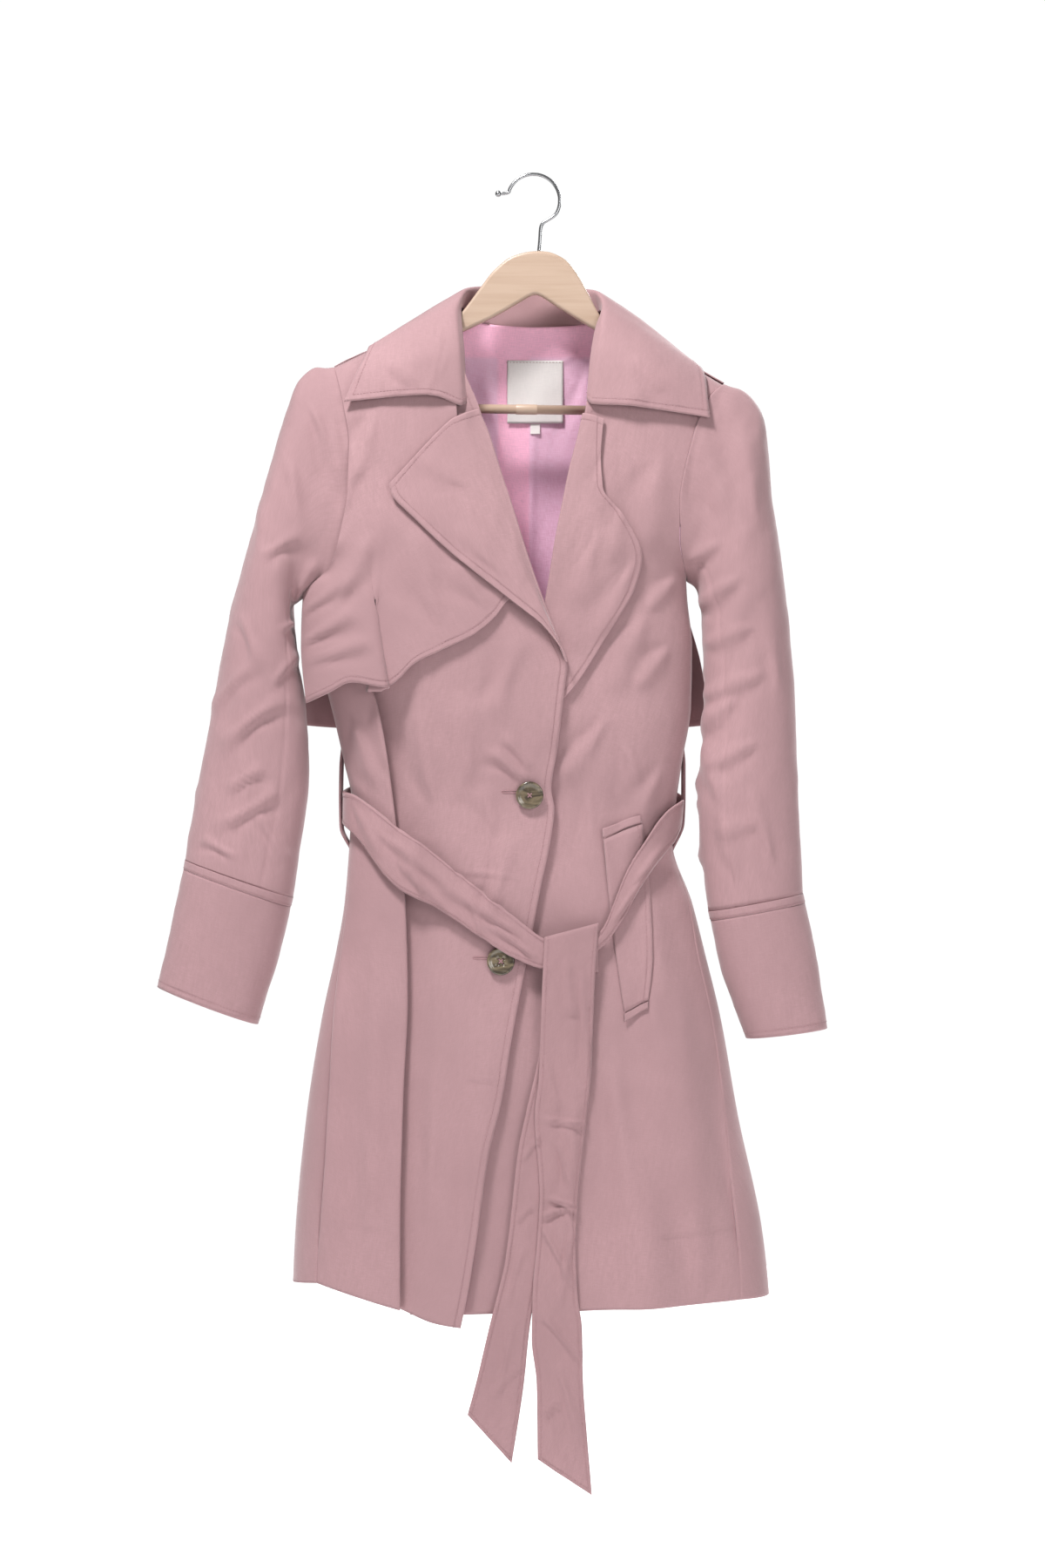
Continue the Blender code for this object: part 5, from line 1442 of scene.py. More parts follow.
@dataclass
class Hanger:
    """The arched wooden hanger with its bar, joint collar and wire hook."""

    wardrobe: Wardrobe
    thick: float = 12.0
    edge: float = 3.0
    top: Rows = (
        (-203, -224), (-186, -197), (-145, -171.5), (-100, -150), (-84, -147), (-75, -136), (-66, -124),
        (-47, -98), (-30, -83), (-12, -77), (1, -76), (14, -77), (30, -85), (42, -101), (53, -121), (61, -137),
        (70, -151), (88, -158), (130, -183.5), (172, -212), (197, -242))
    under: Rows = (
        (192, -256), (172, -256), (171.8, -232), (146, -209), (104, -184), (64, -160), (40, -145.5), (20, -133),
        (6, -123.5), (-2, -119), (-10, -123.5), (-24, -132), (-44, -143.5), (-79, -160), (-116, -178),
        (-154, -198), (-177.8, -222), (-178, -250), (-198, -250))
    bar_radius: float = 4.8
    bar_ends: Rows = ((-177.4, -236.0), (171.4, -241.0))
    bar_collar: tuple[float, float, float] = (-11.0, 22.0, 5.3)
    wire: float = 1.75
    hook_centre: tuple[float, float] = (-4.0, -24.0)
    hook_radius: float = 27.0
    hook_tip: Rows = ((-36.5, -17.0), (-33.0, -16.6))
    hook_bend: Rows = ((17.0, -40.0), (11.0, -43.8), (6.2, -47.0), (3.9, -50.5), (3.2, -55.0), (2.6, -65.0),
        (1.6, -75.7))
    tip_radius: float = 3.2

    def board(self) -> bpy.types.Object:
        """The arched board with rounded edges.

        Returns:
            The board.
        """
        line = smooth_closed(self.top + self.under, 420, 6)
        tangent = np.roll(line, -1, axis=0) - np.roll(line, 1, axis=0)
        tangent /= np.linalg.norm(tangent, axis=1, keepdims=True)
        inward = np.stack([tangent[:, 1], -tangent[:, 0]], axis=1)
        half = self.thick / 2
        loops = []
        for angle in np.radians(np.linspace(-90, 90, 9)):
            inset = self.edge * (1 - math.cos(angle))
            depth = (half - self.edge) * np.sign(angle) + self.edge * math.sin(angle)
            shape = line + inward * inset
            loops.append(np.stack([shape[:, 0], 0 * shape[:, 0] + depth, shape[:, 1]], axis=1))
        piece = mesh_piece("hanger_board_wood", np.concatenate(loops), ring_faces(len(loops), len(line)),
                           self.wardrobe.materials[Finish.WOOD])
        for polygon in piece.data.polygons:
            if len(polygon.vertices) > 4:
                polygon.use_smooth = False
        return piece

    def bar(self) -> bpy.types.Object:
        """The round bar with the collar over its joint.

        Returns:
            The bar.
        """
        ends = np.asarray(self.bar_ends, float)
        long = np.linalg.norm(ends[1] - ends[0])
        middle, wide, proud = self.bar_collar
        at = (middle - ends[0, 0]) / (ends[1, 0] - ends[0, 0]) * long
        stops = [(0, self.bar_radius), (at - wide / 2 - 0.1, self.bar_radius), (at - wide / 2, proud - 0.2),
                 (at - wide / 2 + 0.6, proud), (at + wide / 2 - 0.6, proud), (at + wide / 2, proud - 0.2),
                 (at + wide / 2 + 0.1, self.bar_radius), (long, self.bar_radius)]
        path = np.array([ends[0] + (ends[1] - ends[0]) * stop / long for stop, _ in stops])
        points, faces = tube_along(path, np.array([radius for _, radius in stops]), 40)
        return mesh_piece("hanger_bar_wood", points, faces, self.wardrobe.materials[Finish.WOOD])

    def hook(self) -> bpy.types.Object:
        """The wire hook: an open ring, a bend back to the middle and a stem.

        Returns:
            The wire.
        """
        centre_x, centre_z = self.hook_centre
        ring = [(centre_x + self.hook_radius * math.cos(a), centre_z + self.hook_radius * math.sin(a))
                for a in np.radians(np.linspace(162, -26, 20))]
        line = np.array([*self.hook_tip, *ring, *self.hook_bend])
        run = run_along(line)
        path = smooth(run, line, np.linspace(0, run[-1], 260))
        points, faces = tube_along(path, np.full(260, self.wire), 20)
        return mesh_piece("hook_wire", points, faces, self.wardrobe.materials[Finish.STEEL])

    def tip(self) -> bpy.types.Object:
        """The ball on the hook's tip, a little flattened where it joins the wire.

        Returns:
            The ball.
        """
        centre = np.array(self.hook_tip[0]) - (self.tip_radius + 0.3, 0.0)
        turn = np.linspace(0, math.pi, 25)
        path = np.stack([centre[0] - self.tip_radius * np.cos(turn), centre[1] + 0 * turn], axis=1)
        points, faces = tube_along(path, np.maximum(self.tip_radius * np.sin(turn), 0.02), 32)
        return mesh_piece("hook_ball", points, faces, self.wardrobe.materials[Finish.STEEL])

    def build(self) -> None:
        """Make the board, the bar and the hook."""
        for piece, node, finish in ((self.board(), "hanger_board", Finish.WOOD),
                                    (self.bar(), "hanger_bar", Finish.WOOD),
                                    (self.hook(), "hook", Finish.STEEL), (self.tip(), "hook_tip", Finish.STEEL)):
            self.wardrobe.enter(piece, (node,), finish)


@dataclass
class Buttons:
    """Two dished horn buttons with four holes, sewn on with crossed thread."""

    wardrobe: Wardrobe
    radius: float = 14.0
    thick: float = 4.0
    rim: float = 2.2
    hole: float = 1.1
    hole_circle: float = 2.9
    slit: tuple[float, float, float] = (-28.0, -9.0, 3.5)
    places: tuple[tuple[str, float, float, float], ...] = (
        ("upper", -8.0, -634.0, 1.9), ("lower", -37.0, -801.0, 1.7))

    def frame(self, x: float, z: float, lift: float) -> Array:
        """Place and turn of a button that lies on the cloth, as a 3 by 4 matrix.

        Args:
            x: position across.
            z: height.
            lift: how far it stands off the cloth.

        Returns:
            Its right, up and outward directions and its place, as columns.
        """
        def depth(at_x: float, at_z: float) -> float:
            """Depth of the smooth front at one point."""
            return float(self.wardrobe.form.skin(np.array(at_x), np.array(at_z), -1))

        out_x = (depth(x + 4, z) - depth(x - 4, z)) / 8
        out_z = (depth(x, z + 4) - depth(x, z - 4)) / 8
        axis = np.array([out_x, -1.0, out_z])
        axis /= np.linalg.norm(axis)
        right = np.cross(axis, [0, 0, 1.0])
        right /= -np.linalg.norm(right)
        up = np.cross(right, axis) * -1
        at = np.array([x, depth(x, z) - 0.6 - lift, z])
        return np.stack([right, up, axis, at], axis=1)

    def button(self, name: str, x: float, z: float, lift: float) -> bpy.types.Object:
        """One button: rings of points round its middle, with the four holes left open.

        Args:
            name: "upper" or "lower".
            x: position across.
            z: height.
            lift: how far it stands off the cloth.

        Returns:
            The button.
        """
        r, t = self.radius, self.thick
        dish = r - self.rim
        profile = np.array([(0, t - 1.25), (dish - 4.4, t - 1.3), (dish - 2.6, t - 1.25), (dish - 1.2, t - 0.7),
                            (dish, t - 0.08), (dish + 0.9, t), (r - 0.7, t - 0.3), (r - 0.15, t - 0.9),
                            (r, t - 1.6), (r - 0.5, t - 2.6), (r - 1.5, 0.5), (r - 4, 0), (0, 0)])
        sides = 72
        turn = np.linspace(0, 2 * math.pi, sides, endpoint=False)
        rings = np.stack([profile[:, :1] * np.cos(turn), profile[:, :1] * np.sin(turn),
                          profile[:, 1:] + 0 * turn], axis=-1)
        place = self.frame(x, z, lift)
        piece = mesh_piece(f"button_{name}_horn", rings.reshape(-1, 3) @ place[:, :3].T + place[:, 3],
                           ring_faces(len(profile), sides, capped=False), self.wardrobe.materials[Finish.HORN])
        cutter = bmesh.new()
        for corner in range(4):
            angle = math.radians(45 + 90 * corner)
            made = bmesh.ops.create_cone(cutter, cap_ends=True, segments=20, radius1=self.hole, radius2=self.hole,
                                         depth=3 * t)
            place_x, place_y = self.hole_circle * math.cos(angle), self.hole_circle * math.sin(angle)
            bmesh.ops.translate(cutter, verts=made["verts"], vec=(place_x, place_y, t / 2))
        for vert in cutter.verts:
            vert.co = (place[:, :3] @ np.array(vert.co) + place[:, 3]) * MM
        bmesh.ops.recalc_face_normals(cutter, faces=cutter.faces)
        tool_mesh = bpy.data.meshes.new("button_holes")
        cutter.to_mesh(tool_mesh)
        cutter.free()
        tool = linked("button_holes", tool_mesh)
        cut = piece.modifiers.new("holes", "BOOLEAN")
        cut.object, cut.operation, cut.solver = tool, "DIFFERENCE", "EXACT"
        settle(piece)
        bpy.data.objects.remove(tool, do_unlink=True)
        return piece

    def thread(self, name: str, x: float, z: float, lift: float) -> bpy.types.Object:
        """Crossed threads through a button's holes.

        Args:
            name: "upper" or "lower".
            x: position across.
            z: height.
            lift: how far the button stands off the cloth.

        Returns:
            The threads as one piece.
        """
        place = self.frame(x, z, lift)
        points, faces = [], []
        for corner in range(2):
            for aside in (-0.35, 0.0, 0.35):
                angle = math.radians(45 + 90 * corner)
                way = np.array([math.cos(angle), math.sin(angle)])
                side = np.array([-way[1], way[0]]) * aside
                reach = np.linspace(-1, 1, 15)
                centre = way[None, :] * reach[:, None] * (self.hole_circle + 0.3) + side
                rise = self.thick - 1.0 + 0.35 * (1 - np.abs(reach) ** 4)
                rise = rise - 1.6 * (np.abs(reach) > 0.97) + 0.1 * corner
                ring = np.linspace(0, 2 * math.pi, 8, endpoint=False)
                tube = (np.concatenate([centre, rise[:, None]], axis=1)[:, None, :]
                        + 0.22 * (np.cos(ring)[None, :, None] * np.array([-way[1], way[0], 0])
                                  + np.sin(ring)[None, :, None] * np.array([0, 0, 1.0])))
                base = sum(len(p) for p in points)
                points.append(tube.reshape(-1, 3))
                faces += ring_faces(len(reach), len(ring), base)
        return mesh_piece(f"button_{name}_thread", np.concatenate(points) @ place[:, :3].T + place[:, 3], faces,
                          self.wardrobe.materials[Finish.THREAD])

    def buttonhole(self, name: str, x0: float, x1: float, z: float) -> bpy.types.Object:
        """A worked buttonhole: a slit with a raised bead of stitches round it.

        Args:
            name: "upper" or "lower".
            x0: its outer end.
            x1: its inner end, under the button.
            z: its height.

        Returns:
            The bead as one piece.
        """
        turn = np.linspace(0, 2 * math.pi, 120, endpoint=False)
        half, middle = (x1 - x0) / 2, (x0 + x1) / 2
        x = middle + half * np.sign(np.cos(turn)) * np.abs(np.cos(turn)) ** 0.5
        up = z + 1.15 * np.sign(np.sin(turn)) * np.abs(np.sin(turn)) ** 0.6
        y = self.wardrobe.skin(x, up) - 0.75
        ring = np.linspace(0, 2 * math.pi, 8, endpoint=False)
        bead = 0.5 + 0.12 * np.sin(turn * 60)
        centre = np.stack([x, y, up], axis=1)
        away = np.stack([np.cos(turn) * 0.35, 0 * turn, np.sin(turn)], axis=1)
        away /= np.linalg.norm(away, axis=1, keepdims=True)
        points = centre[:, None] + bead[:, None, None] * (np.cos(ring)[None, :, None] * away[:, None]
                                                          + np.sin(ring)[None, :, None] * np.array([0, -1.0, 0]))
        faces = ring_faces(len(turn), len(ring), capped=False, joined=True)
        return mesh_piece(f"buttonhole_{name}", points.reshape(-1, 3), faces,
                          self.wardrobe.materials[Finish.THREAD])

    def build(self) -> None:
        """Make the buttons, their threads and the buttonholes."""
        for name, x, z, lift in self.places:
            self.wardrobe.enter(self.button(name, x, z, lift), (f"button_{name}",), Finish.HORN)
            self.wardrobe.enter(self.thread(name, x, z, lift), (), Finish.THREAD)
            outer, inner, up = self.slit
            self.wardrobe.enter(self.buttonhole(name, x + outer, x + inner, z + up), (), Finish.THREAD)


@dataclass
class Stitching:
    """Every row of topstitching, laid along the collected rows by one node tree."""

    wardrobe: Wardrobe
    pitch: float = 3.4
    long: float = 2.5
    wide: float = 0.62
    seed: int = 7

    def tree(self) -> tuple[Tree, dict[str, str]]:
        """Node tree that strings stitches along every edge of a mesh.

        Returns:
            The tree, and the identifier of each named input.
        """
        tree = bpy.data.node_groups.new("stitch_rows", "GeometryNodeTree")
        face = tree.interface
        face.new_socket("Geometry", in_out="INPUT", socket_type="NodeSocketGeometry")
        face.new_socket("Geometry", in_out="OUTPUT", socket_type="NodeSocketGeometry")
        ids = {}
        for name, kind in (
            ("Pitch", "NodeSocketFloat"), ("Length", "NodeSocketFloat"), ("Width", "NodeSocketFloat"),
            ("Seed", "NodeSocketInt"), ("Thread", "NodeSocketMaterial")):
            ids[name] = face.new_socket(name, in_out="INPUT", socket_type=kind).identifier
        make, link = tree.nodes.new, tree.links.new
        start, end = make("NodeGroupInput"), make("NodeGroupOutput")
        curve, spaced = make("GeometryNodeMeshToCurve"), make("GeometryNodeResampleCurve")
        spaced.mode = "LENGTH"
        tangent, turn = make("GeometryNodeInputTangent"), make("FunctionNodeAlignRotationToVector")
        turn.axis = "X"
        ball, size = make("GeometryNodeMeshUVSphere"), make("ShaderNodeCombineXYZ")
        ball.inputs["Segments"].default_value, ball.inputs["Rings"].default_value = 6, 4
        ball.inputs["Radius"].default_value = 0.5
        dice = make("FunctionNodeRandomValue")
        dice.inputs[2].default_value, dice.inputs[3].default_value = 0.85, 1.08
        length = make("ShaderNodeMath")
        length.operation = "MULTIPLY"
        strewn, real, paint = make("GeometryNodeInstanceOnPoints"), make("GeometryNodeRealizeInstances"), \
            make("GeometryNodeSetMaterial")
        link(start.outputs["Geometry"], curve.inputs["Mesh"])
        link(curve.outputs["Curve"], spaced.inputs["Curve"])
        link(start.outputs["Pitch"], spaced.inputs["Length"])
        link(tangent.outputs["Tangent"], turn.inputs["Vector"])
        link(start.outputs["Seed"], dice.inputs["Seed"])
        link(start.outputs["Length"], length.inputs[0])
        link(dice.outputs[1], length.inputs[1])
        link(length.outputs[0], size.inputs["X"])
        link(start.outputs["Width"], size.inputs["Y"])
        link(start.outputs["Width"], size.inputs["Z"])
        link(spaced.outputs["Curve"], strewn.inputs["Points"])
        link(ball.outputs["Mesh"], strewn.inputs["Instance"])
        link(turn.outputs["Rotation"], strewn.inputs["Rotation"])
        link(size.outputs["Vector"], strewn.inputs["Scale"])
        link(strewn.outputs["Instances"], real.inputs["Geometry"])
        link(real.outputs["Geometry"], paint.inputs["Geometry"])
        link(start.outputs["Thread"], paint.inputs["Material"])
        link(paint.outputs["Geometry"], end.inputs["Geometry"])
        return tree, ids

    def build(self) -> None:
        """Turn the collected rows into one mesh of stitches."""
        points, edges = [], []
        for row in self.wardrobe.stitches:
            first = len(points)
            points += (row * MM).tolist()
            edges += [(first + i, first + i + 1) for i in range(len(row) - 1)]
        mesh = bpy.data.meshes.new("stitch_lines")
        mesh.from_pydata(points, edges, [])
        piece = linked("topstitching", mesh)
        tree, ids = self.tree()
        laid = piece.modifiers.new("stitches", "NODES")
        laid.node_group = tree
        laid[ids["Pitch"]] = self.pitch * MM
        laid[ids["Length"]] = self.long * MM
        laid[ids["Width"]] = self.wide * MM
        laid[ids["Seed"]] = self.seed
        laid[ids["Thread"]] = self.wardrobe.materials[Finish.THREAD]
        settle(piece)
        LOG.info("topstitching: %d rows", len(self.wardrobe.stitches))
        self.wardrobe.enter(piece, (), Finish.THREAD)


# ---- finishes

def fill(node: bpy.types.Node, constants: dict[str, float | tuple[float, ...]]) -> None:
    """Set a node's own sockets to these constants, by name."""
    for name, value in constants.items():
        node.inputs[name].default_value = value


def group(name: str, inputs: dict[str, float], outputs: tuple[str, ...]) -> tuple:
    """An empty shader node group with a Vector input, named float inputs and float outputs.

    Args:
        name: its name.
        inputs: float inputs with their defaults.
        outputs: the outputs' names.

    Returns:
        The tree, its input node and its output node.
    """
    tree = bpy.data.node_groups.new(name, "ShaderNodeTree")
    tree.interface.new_socket("Vector", in_out="INPUT", socket_type="NodeSocketVector")
    for key, value in inputs.items():
        tree.interface.new_socket(key, in_out="INPUT", socket_type="NodeSocketFloat").default_value = value
    for key in outputs:
        tree.interface.new_socket(key, in_out="OUTPUT", socket_type="NodeSocketFloat")
    return tree, tree.nodes.new("NodeGroupInput"), tree.nodes.new("NodeGroupOutput")


@dataclass(frozen=True)
class Maths:
    """Math nodes over sockets or numbers in one tree, each given by its output."""

    tree: Tree

    def node(self, operation: str, *values: Value) -> Socket:
        """One Math node with these inputs.

        Args:
            operation: the node's operation.
            values: its inputs.

        Returns:
            The node's output.
        """
        node = self.tree.nodes.new("ShaderNodeMath")
        node.operation = operation
        for slot, value in zip(node.inputs, values):
            if isinstance(value, (int, float)):
                slot.default_value = value
            else:
                self.tree.links.new(value, slot)
        return node.outputs[0]

    def add(self, one: Value, two: Value) -> Socket:
        """The sum of two values."""
        return self.node("ADD", one, two)

    def times(self, one: Value, two: Value) -> Socket:
        """The product of two values."""
        return self.node("MULTIPLY", one, two)

    def decay(self, value: Socket) -> Socket:
        """e to the power of a value."""
        return self.node("POWER", 2.718, value)


def noise(tree: Tree, vector: Socket, scale: float, detail: float,
          warp: Value = 0.0) -> Socket:
    """The value of a Noise node.

    Args:
        tree: the tree that it goes into.
        vector: where it is read.
        scale: how many spots there are to a unit.
        detail: how many finer layers it has.
        warp: its distortion, a socket or a number.

    Returns:
        The node's first output.
    """
    node = tree.nodes.new("ShaderNodeTexNoise")
    fill(node, {"Scale": scale, "Detail": detail})
    tree.links.new(vector, node.inputs["Vector"])
    if isinstance(warp, float):
        node.inputs["Distortion"].default_value = warp
    else:
        tree.links.new(warp, node.inputs["Distortion"])
    return node.outputs[0]


def twill_group() -> Tree:
    """Fine diagonal twill with slubs: a height, and a mask of small tone changes.

    Returns:
        The group's tree.
    """
    tree, start, end = group("twill", {"Wale": 0.0007, "Slub": 0.5}, ("Height", "Tone"))
    maths = Maths(tree)
    split = tree.nodes.new("ShaderNodeSeparateXYZ")
    tree.links.new(start.outputs["Vector"], split.inputs[0])
    u, v = split.outputs[0], split.outputs[1]
    turn = maths.node("DIVIDE", 6.2832, start.outputs["Wale"])
    diagonal = maths.node("SINE", maths.times(maths.add(u, maths.times(v, 1.6)), turn))
    weft = maths.node("SINE", maths.times(u, maths.times(turn, 1.9)))
    yarns = []
    for fine_u, fine_v, detail in ((1500.0, 130.0, 3.0), (110.0, 1300.0, 2.0)):
        stretch = tree.nodes.new("ShaderNodeCombineXYZ")
        tree.links.new(maths.times(u, fine_u), stretch.inputs[0])
        tree.links.new(maths.times(v, fine_v), stretch.inputs[1])
        yarns.append(noise(tree, stretch.outputs[0], 1.0, detail))
    threads = maths.add(*yarns)
    relief = maths.add(maths.times(diagonal, 0.3), maths.times(weft, 0.12))
    tree.links.new(maths.add(relief, maths.times(threads, start.outputs["Slub"])), end.inputs["Height"])
    tree.links.new(threads, end.inputs["Tone"])
    return tree


def worn_edge_group() -> Tree:
    """Puckers and painted groove shade along a stitch line, and the pale rub of an edge, from the piece's
    attributes.

    Returns:
        The group's tree.
    """
    tree, start, end = group("sewn_edge", {"Pucker": 1.0}, ("Height", "Rub", "Dark"))
    maths = Maths(tree)
    line, edge = tree.nodes.new("ShaderNodeAttribute"), tree.nodes.new("ShaderNodeAttribute")
    line.attribute_name, edge.attribute_name = "stitch_line", "edge"
    far = line.outputs["Fac"]
    near = maths.decay(maths.times(maths.node("POWER", maths.node("DIVIDE", far, 0.9), 2.0), -1.0))
    wide = maths.decay(maths.times(maths.node("DIVIDE", far, 4.5), -1.0))
    uneven = maths.node("SUBTRACT", noise(tree, start.outputs["Vector"], 260.0, 2.0), 0.5)
    pucker = maths.times(maths.times(wide, uneven), start.outputs["Pucker"])
    tree.links.new(maths.node("SUBTRACT", maths.times(pucker, 1.6), maths.times(near, 0.8)), end.inputs["Height"])
    tree.links.new(maths.decay(maths.times(edge.outputs["Fac"], -1.1)), end.inputs["Rub"])
    # painted shade: this output darkens the colour in a narrow band along the stitch groove
    tree.links.new(near, end.inputs["Dark"])
    return tree


def grain_group() -> Tree:
    """Stretched noise for wood grain and horn streaks: a mask and a fine height.

    Returns:
        The group's tree.
    """
    tree, start, end = group("grain", {"Along": 6.0, "Across": 260.0, "Warp": 0.6}, ("Mask", "Height"))
    maths = Maths(tree)
    split, join = tree.nodes.new("ShaderNodeSeparateXYZ"), tree.nodes.new("ShaderNodeCombineXYZ")
    tree.links.new(start.outputs["Vector"], split.inputs[0])
    for axis, fineness in enumerate(("Along", "Across", "Across")):
        tree.links.new(maths.times(split.outputs[axis], start.outputs[fineness]), join.inputs[axis])
    tree.links.new(noise(tree, join.outputs[0], 1.0, 5.0, start.outputs["Warp"]), end.inputs["Mask"])
    tree.links.new(noise(tree, join.outputs[0], 3.5, 2.0), end.inputs["Height"])
    return tree


@dataclass(frozen=True)
class Surface:
    """Constants of one finish, set on the shader's own sockets."""

    colour: tuple[float, float, float]
    second: tuple[float, float, float]
    roughness: float
    metallic: float = 0.0
    sheen: float = 0.0
    specular: float = 0.5
    coat: float = 0.0

    def start(self, name: str) -> tuple[bpy.types.Material, Tree, bpy.types.Node]:
        """A material with these constants.

        Args:
            name: the material's name.

        Returns:
            The material, its tree and its shader.
        """
        material = bpy.data.materials.new(name)
        material.use_nodes = True
        shader = material.node_tree.nodes["Principled BSDF"]
        fill(shader, {"Base Color": (*self.colour, 1), "Roughness": self.roughness, "Metallic": self.metallic,
                      "Sheen Weight": self.sheen, "Sheen Roughness": 0.45, "Specular IOR Level": self.specular,
                      "Coat Weight": self.coat, "Coat Roughness": 0.12})
        material.diffuse_color = (*self.colour, 1)
        return material, material.node_tree, shader

    def shade(self, share: float) -> tuple[float, float, float, float]:
        """The colour made lighter or darker."""
        return (*(min(1.0, part * share) for part in self.colour), 1)


def blend(tree: Tree, share: Socket, one: Socket | tuple, two: Socket | tuple) -> Socket:
    """A colour mix.

    Args:
        tree: the tree that it goes into.
        share: 0 for the first colour, 1 for the second.
        one: first colour, a socket or four numbers.
        two: second colour, a socket or four numbers.

    Returns:
        The mixed colour.
    """
    node = tree.nodes.new("ShaderNodeMix")
    node.data_type = "RGBA"
    tree.links.new(share, node.inputs["Factor"])
    for slot, value in ((node.inputs[6], one), (node.inputs[7], two)):
        if isinstance(value, tuple):
            slot.default_value = value
        else:
            tree.links.new(value, slot)
    return node.outputs[2]


def spread(tree: Tree, value: Socket, low: float, high: float) -> Socket:
    """A value stretched so that low becomes 0 and high becomes 1.

    Args:
        tree: the tree that it goes into.
        value: the value.
        low: what becomes 0.
        high: what becomes 1.

    Returns:
        The stretched value.
    """
    node = tree.nodes.new("ShaderNodeMapRange")
    fill(node, {"From Min": low, "From Max": high})
    tree.links.new(value, node.inputs["Value"])
    return node.outputs["Result"]


@dataclass
class Finishes:
    """Builds every material once."""

    cloth: Surface = Surface((0.428, 0.255, 0.270), (0.380, 0.220, 0.240), 0.78, sheen=0.28, specular=0.28)
    belt: Surface = Surface((0.405, 0.238, 0.252), (0.360, 0.205, 0.225), 0.76, sheen=0.28, specular=0.28)
    # the lining's second colour is its painted shot sheen
    lining: Surface = Surface((0.950, 0.620, 0.800), (0.990, 0.510, 0.670), 0.42, sheen=0.15)
    label: Surface = Surface((0.840, 0.800, 0.775), (0.740, 0.700, 0.680), 0.60, sheen=0.2)
    horn: Surface = Surface((0.185, 0.142, 0.088), (0.050, 0.037, 0.024), 0.22, coat=0.6)
    wood: Surface = Surface((0.490, 0.358, 0.272), (0.410, 0.283, 0.202), 0.42, coat=0.18)
    steel: Surface = Surface((0.420, 0.425, 0.435), (0.30, 0.30, 0.31), 0.24, metallic=1.0)
    thread: Surface = Surface((0.360, 0.190, 0.205), (0.30, 0.155, 0.17), 0.6, sheen=0.2)
    between_threads: tuple[float, float, float] = (0.70, 0.36, 0.50)
    groups: dict[str, Tree] = field(default_factory=dict)

    def use(self, tree: Tree, name: str, vector: Socket, **values: float) -> bpy.types.Node:
        """Place a shared group in a material's tree.

        Args:
            tree: the material's tree.
            name: the group's name.
            vector: where on the surface it is read.
            values: its float inputs.

        Returns:
            The group node.
        """
        node = tree.nodes.new("ShaderNodeGroup")
        node.node_tree = self.groups[name]
        tree.links.new(vector, node.inputs["Vector"])
        for key, value in values.items():
            node.inputs[key].default_value = value
        return node

    def bump(self, tree: Tree, shader: bpy.types.Node, *layers: tuple) -> None:
        """Chain Bump nodes into the shader's normal.

        Args:
            tree: the material's tree.
            shader: its shader.
            layers: height socket, strength and distance of each.
        """
        last = None
        for height, strength, distance in layers:
            node = tree.nodes.new("ShaderNodeBump")
            fill(node, {"Strength": strength, "Distance": distance})
            tree.links.new(height, node.inputs["Height"])
            if last is not None:
                tree.links.new(last, node.inputs["Normal"])
            last = node.outputs["Normal"]
        tree.links.new(last, shader.inputs["Normal"])

    def woven(self, name: str, look: Surface, wale: float, toned: bool = False) -> bpy.types.Material:
        """A woven cloth: twill, mottling partly painted as light and shade, crumple, rubbed edges and puckered
        stitch lines.

        Args:
            name: the material's name.
            look: its constants.
            wale: spacing of its twill lines in metres.
            toned: mix in the second colour by the piece's tone attribute.

        Returns:
            The material.
        """
        material, tree, shader = look.start(name)
        maths = Maths(tree)
        weave, place = tree.nodes.new("ShaderNodeUVMap"), tree.nodes.new("ShaderNodeTexCoord")
        weave.uv_map = "weave"
        twill = self.use(tree, "twill", weave.outputs["UV"], Wale=wale, Slub=0.5)
        sewn = self.use(tree, "sewn_edge", place.outputs["Object"], Pucker=1.0)
        mottle_and_shade = noise(tree, place.outputs["Object"], 7.0, 4.0)
        crumple = noise(tree, place.outputs["Object"], 24.0, 4.0, 0.8)
        slant = tree.nodes.new("ShaderNodeMapping")
        slant.inputs["Scale"].default_value = (260.0, 42.0, 1.0)
        tree.links.new(weave.outputs["UV"], slant.inputs["Vector"])
        streaks = spread(tree, noise(tree, slant.outputs["Vector"], 1.0, 4.0), 0.42, 0.70)
        # mottle_and_shade: partly the cloth's random tone, partly painted light and shade in soft patches
        colour = blend(tree, spread(tree, mottle_and_shade, 0.32, 0.68), look.shade(1.06), look.shade(0.84))
        colour = blend(tree, maths.times(streaks, 0.5), colour, look.shade(0.84))
        # the tone attribute carries the lining's painted sheen, mixed in as its second colour
        if toned:
            tone = tree.nodes.new("ShaderNodeAttribute")
            tone.attribute_name = "tone"
            colour = blend(tree, tone.outputs["Fac"], colour, (*look.second, 1))
        between = (*self.between_threads, 1) if toned else look.shade(0.80)
        colour = blend(tree, spread(tree, twill.outputs["Tone"], 0.62, 1.5), colour, between)
        colour = blend(tree, maths.times(sewn.outputs["Rub"], 0.30), colour, look.shade(1.22))
        # painted shade: the colour is darkened along the stitch groove
        colour = blend(tree, maths.times(sewn.outputs["Dark"], 0.34), colour, look.shade(0.55))
        tree.links.new(colour, shader.inputs["Base Color"])
        rough = maths.add(maths.times(mottle_and_shade, 0.16), look.roughness - 0.08)
        tree.links.new(rough, shader.inputs["Roughness"])
        self.bump(tree, shader, (crumple, 0.32, 0.0022), (sewn.outputs["Height"], 0.55, 0.0006),
                  (twill.outputs["Height"], 0.30, 0.00012))
        return material

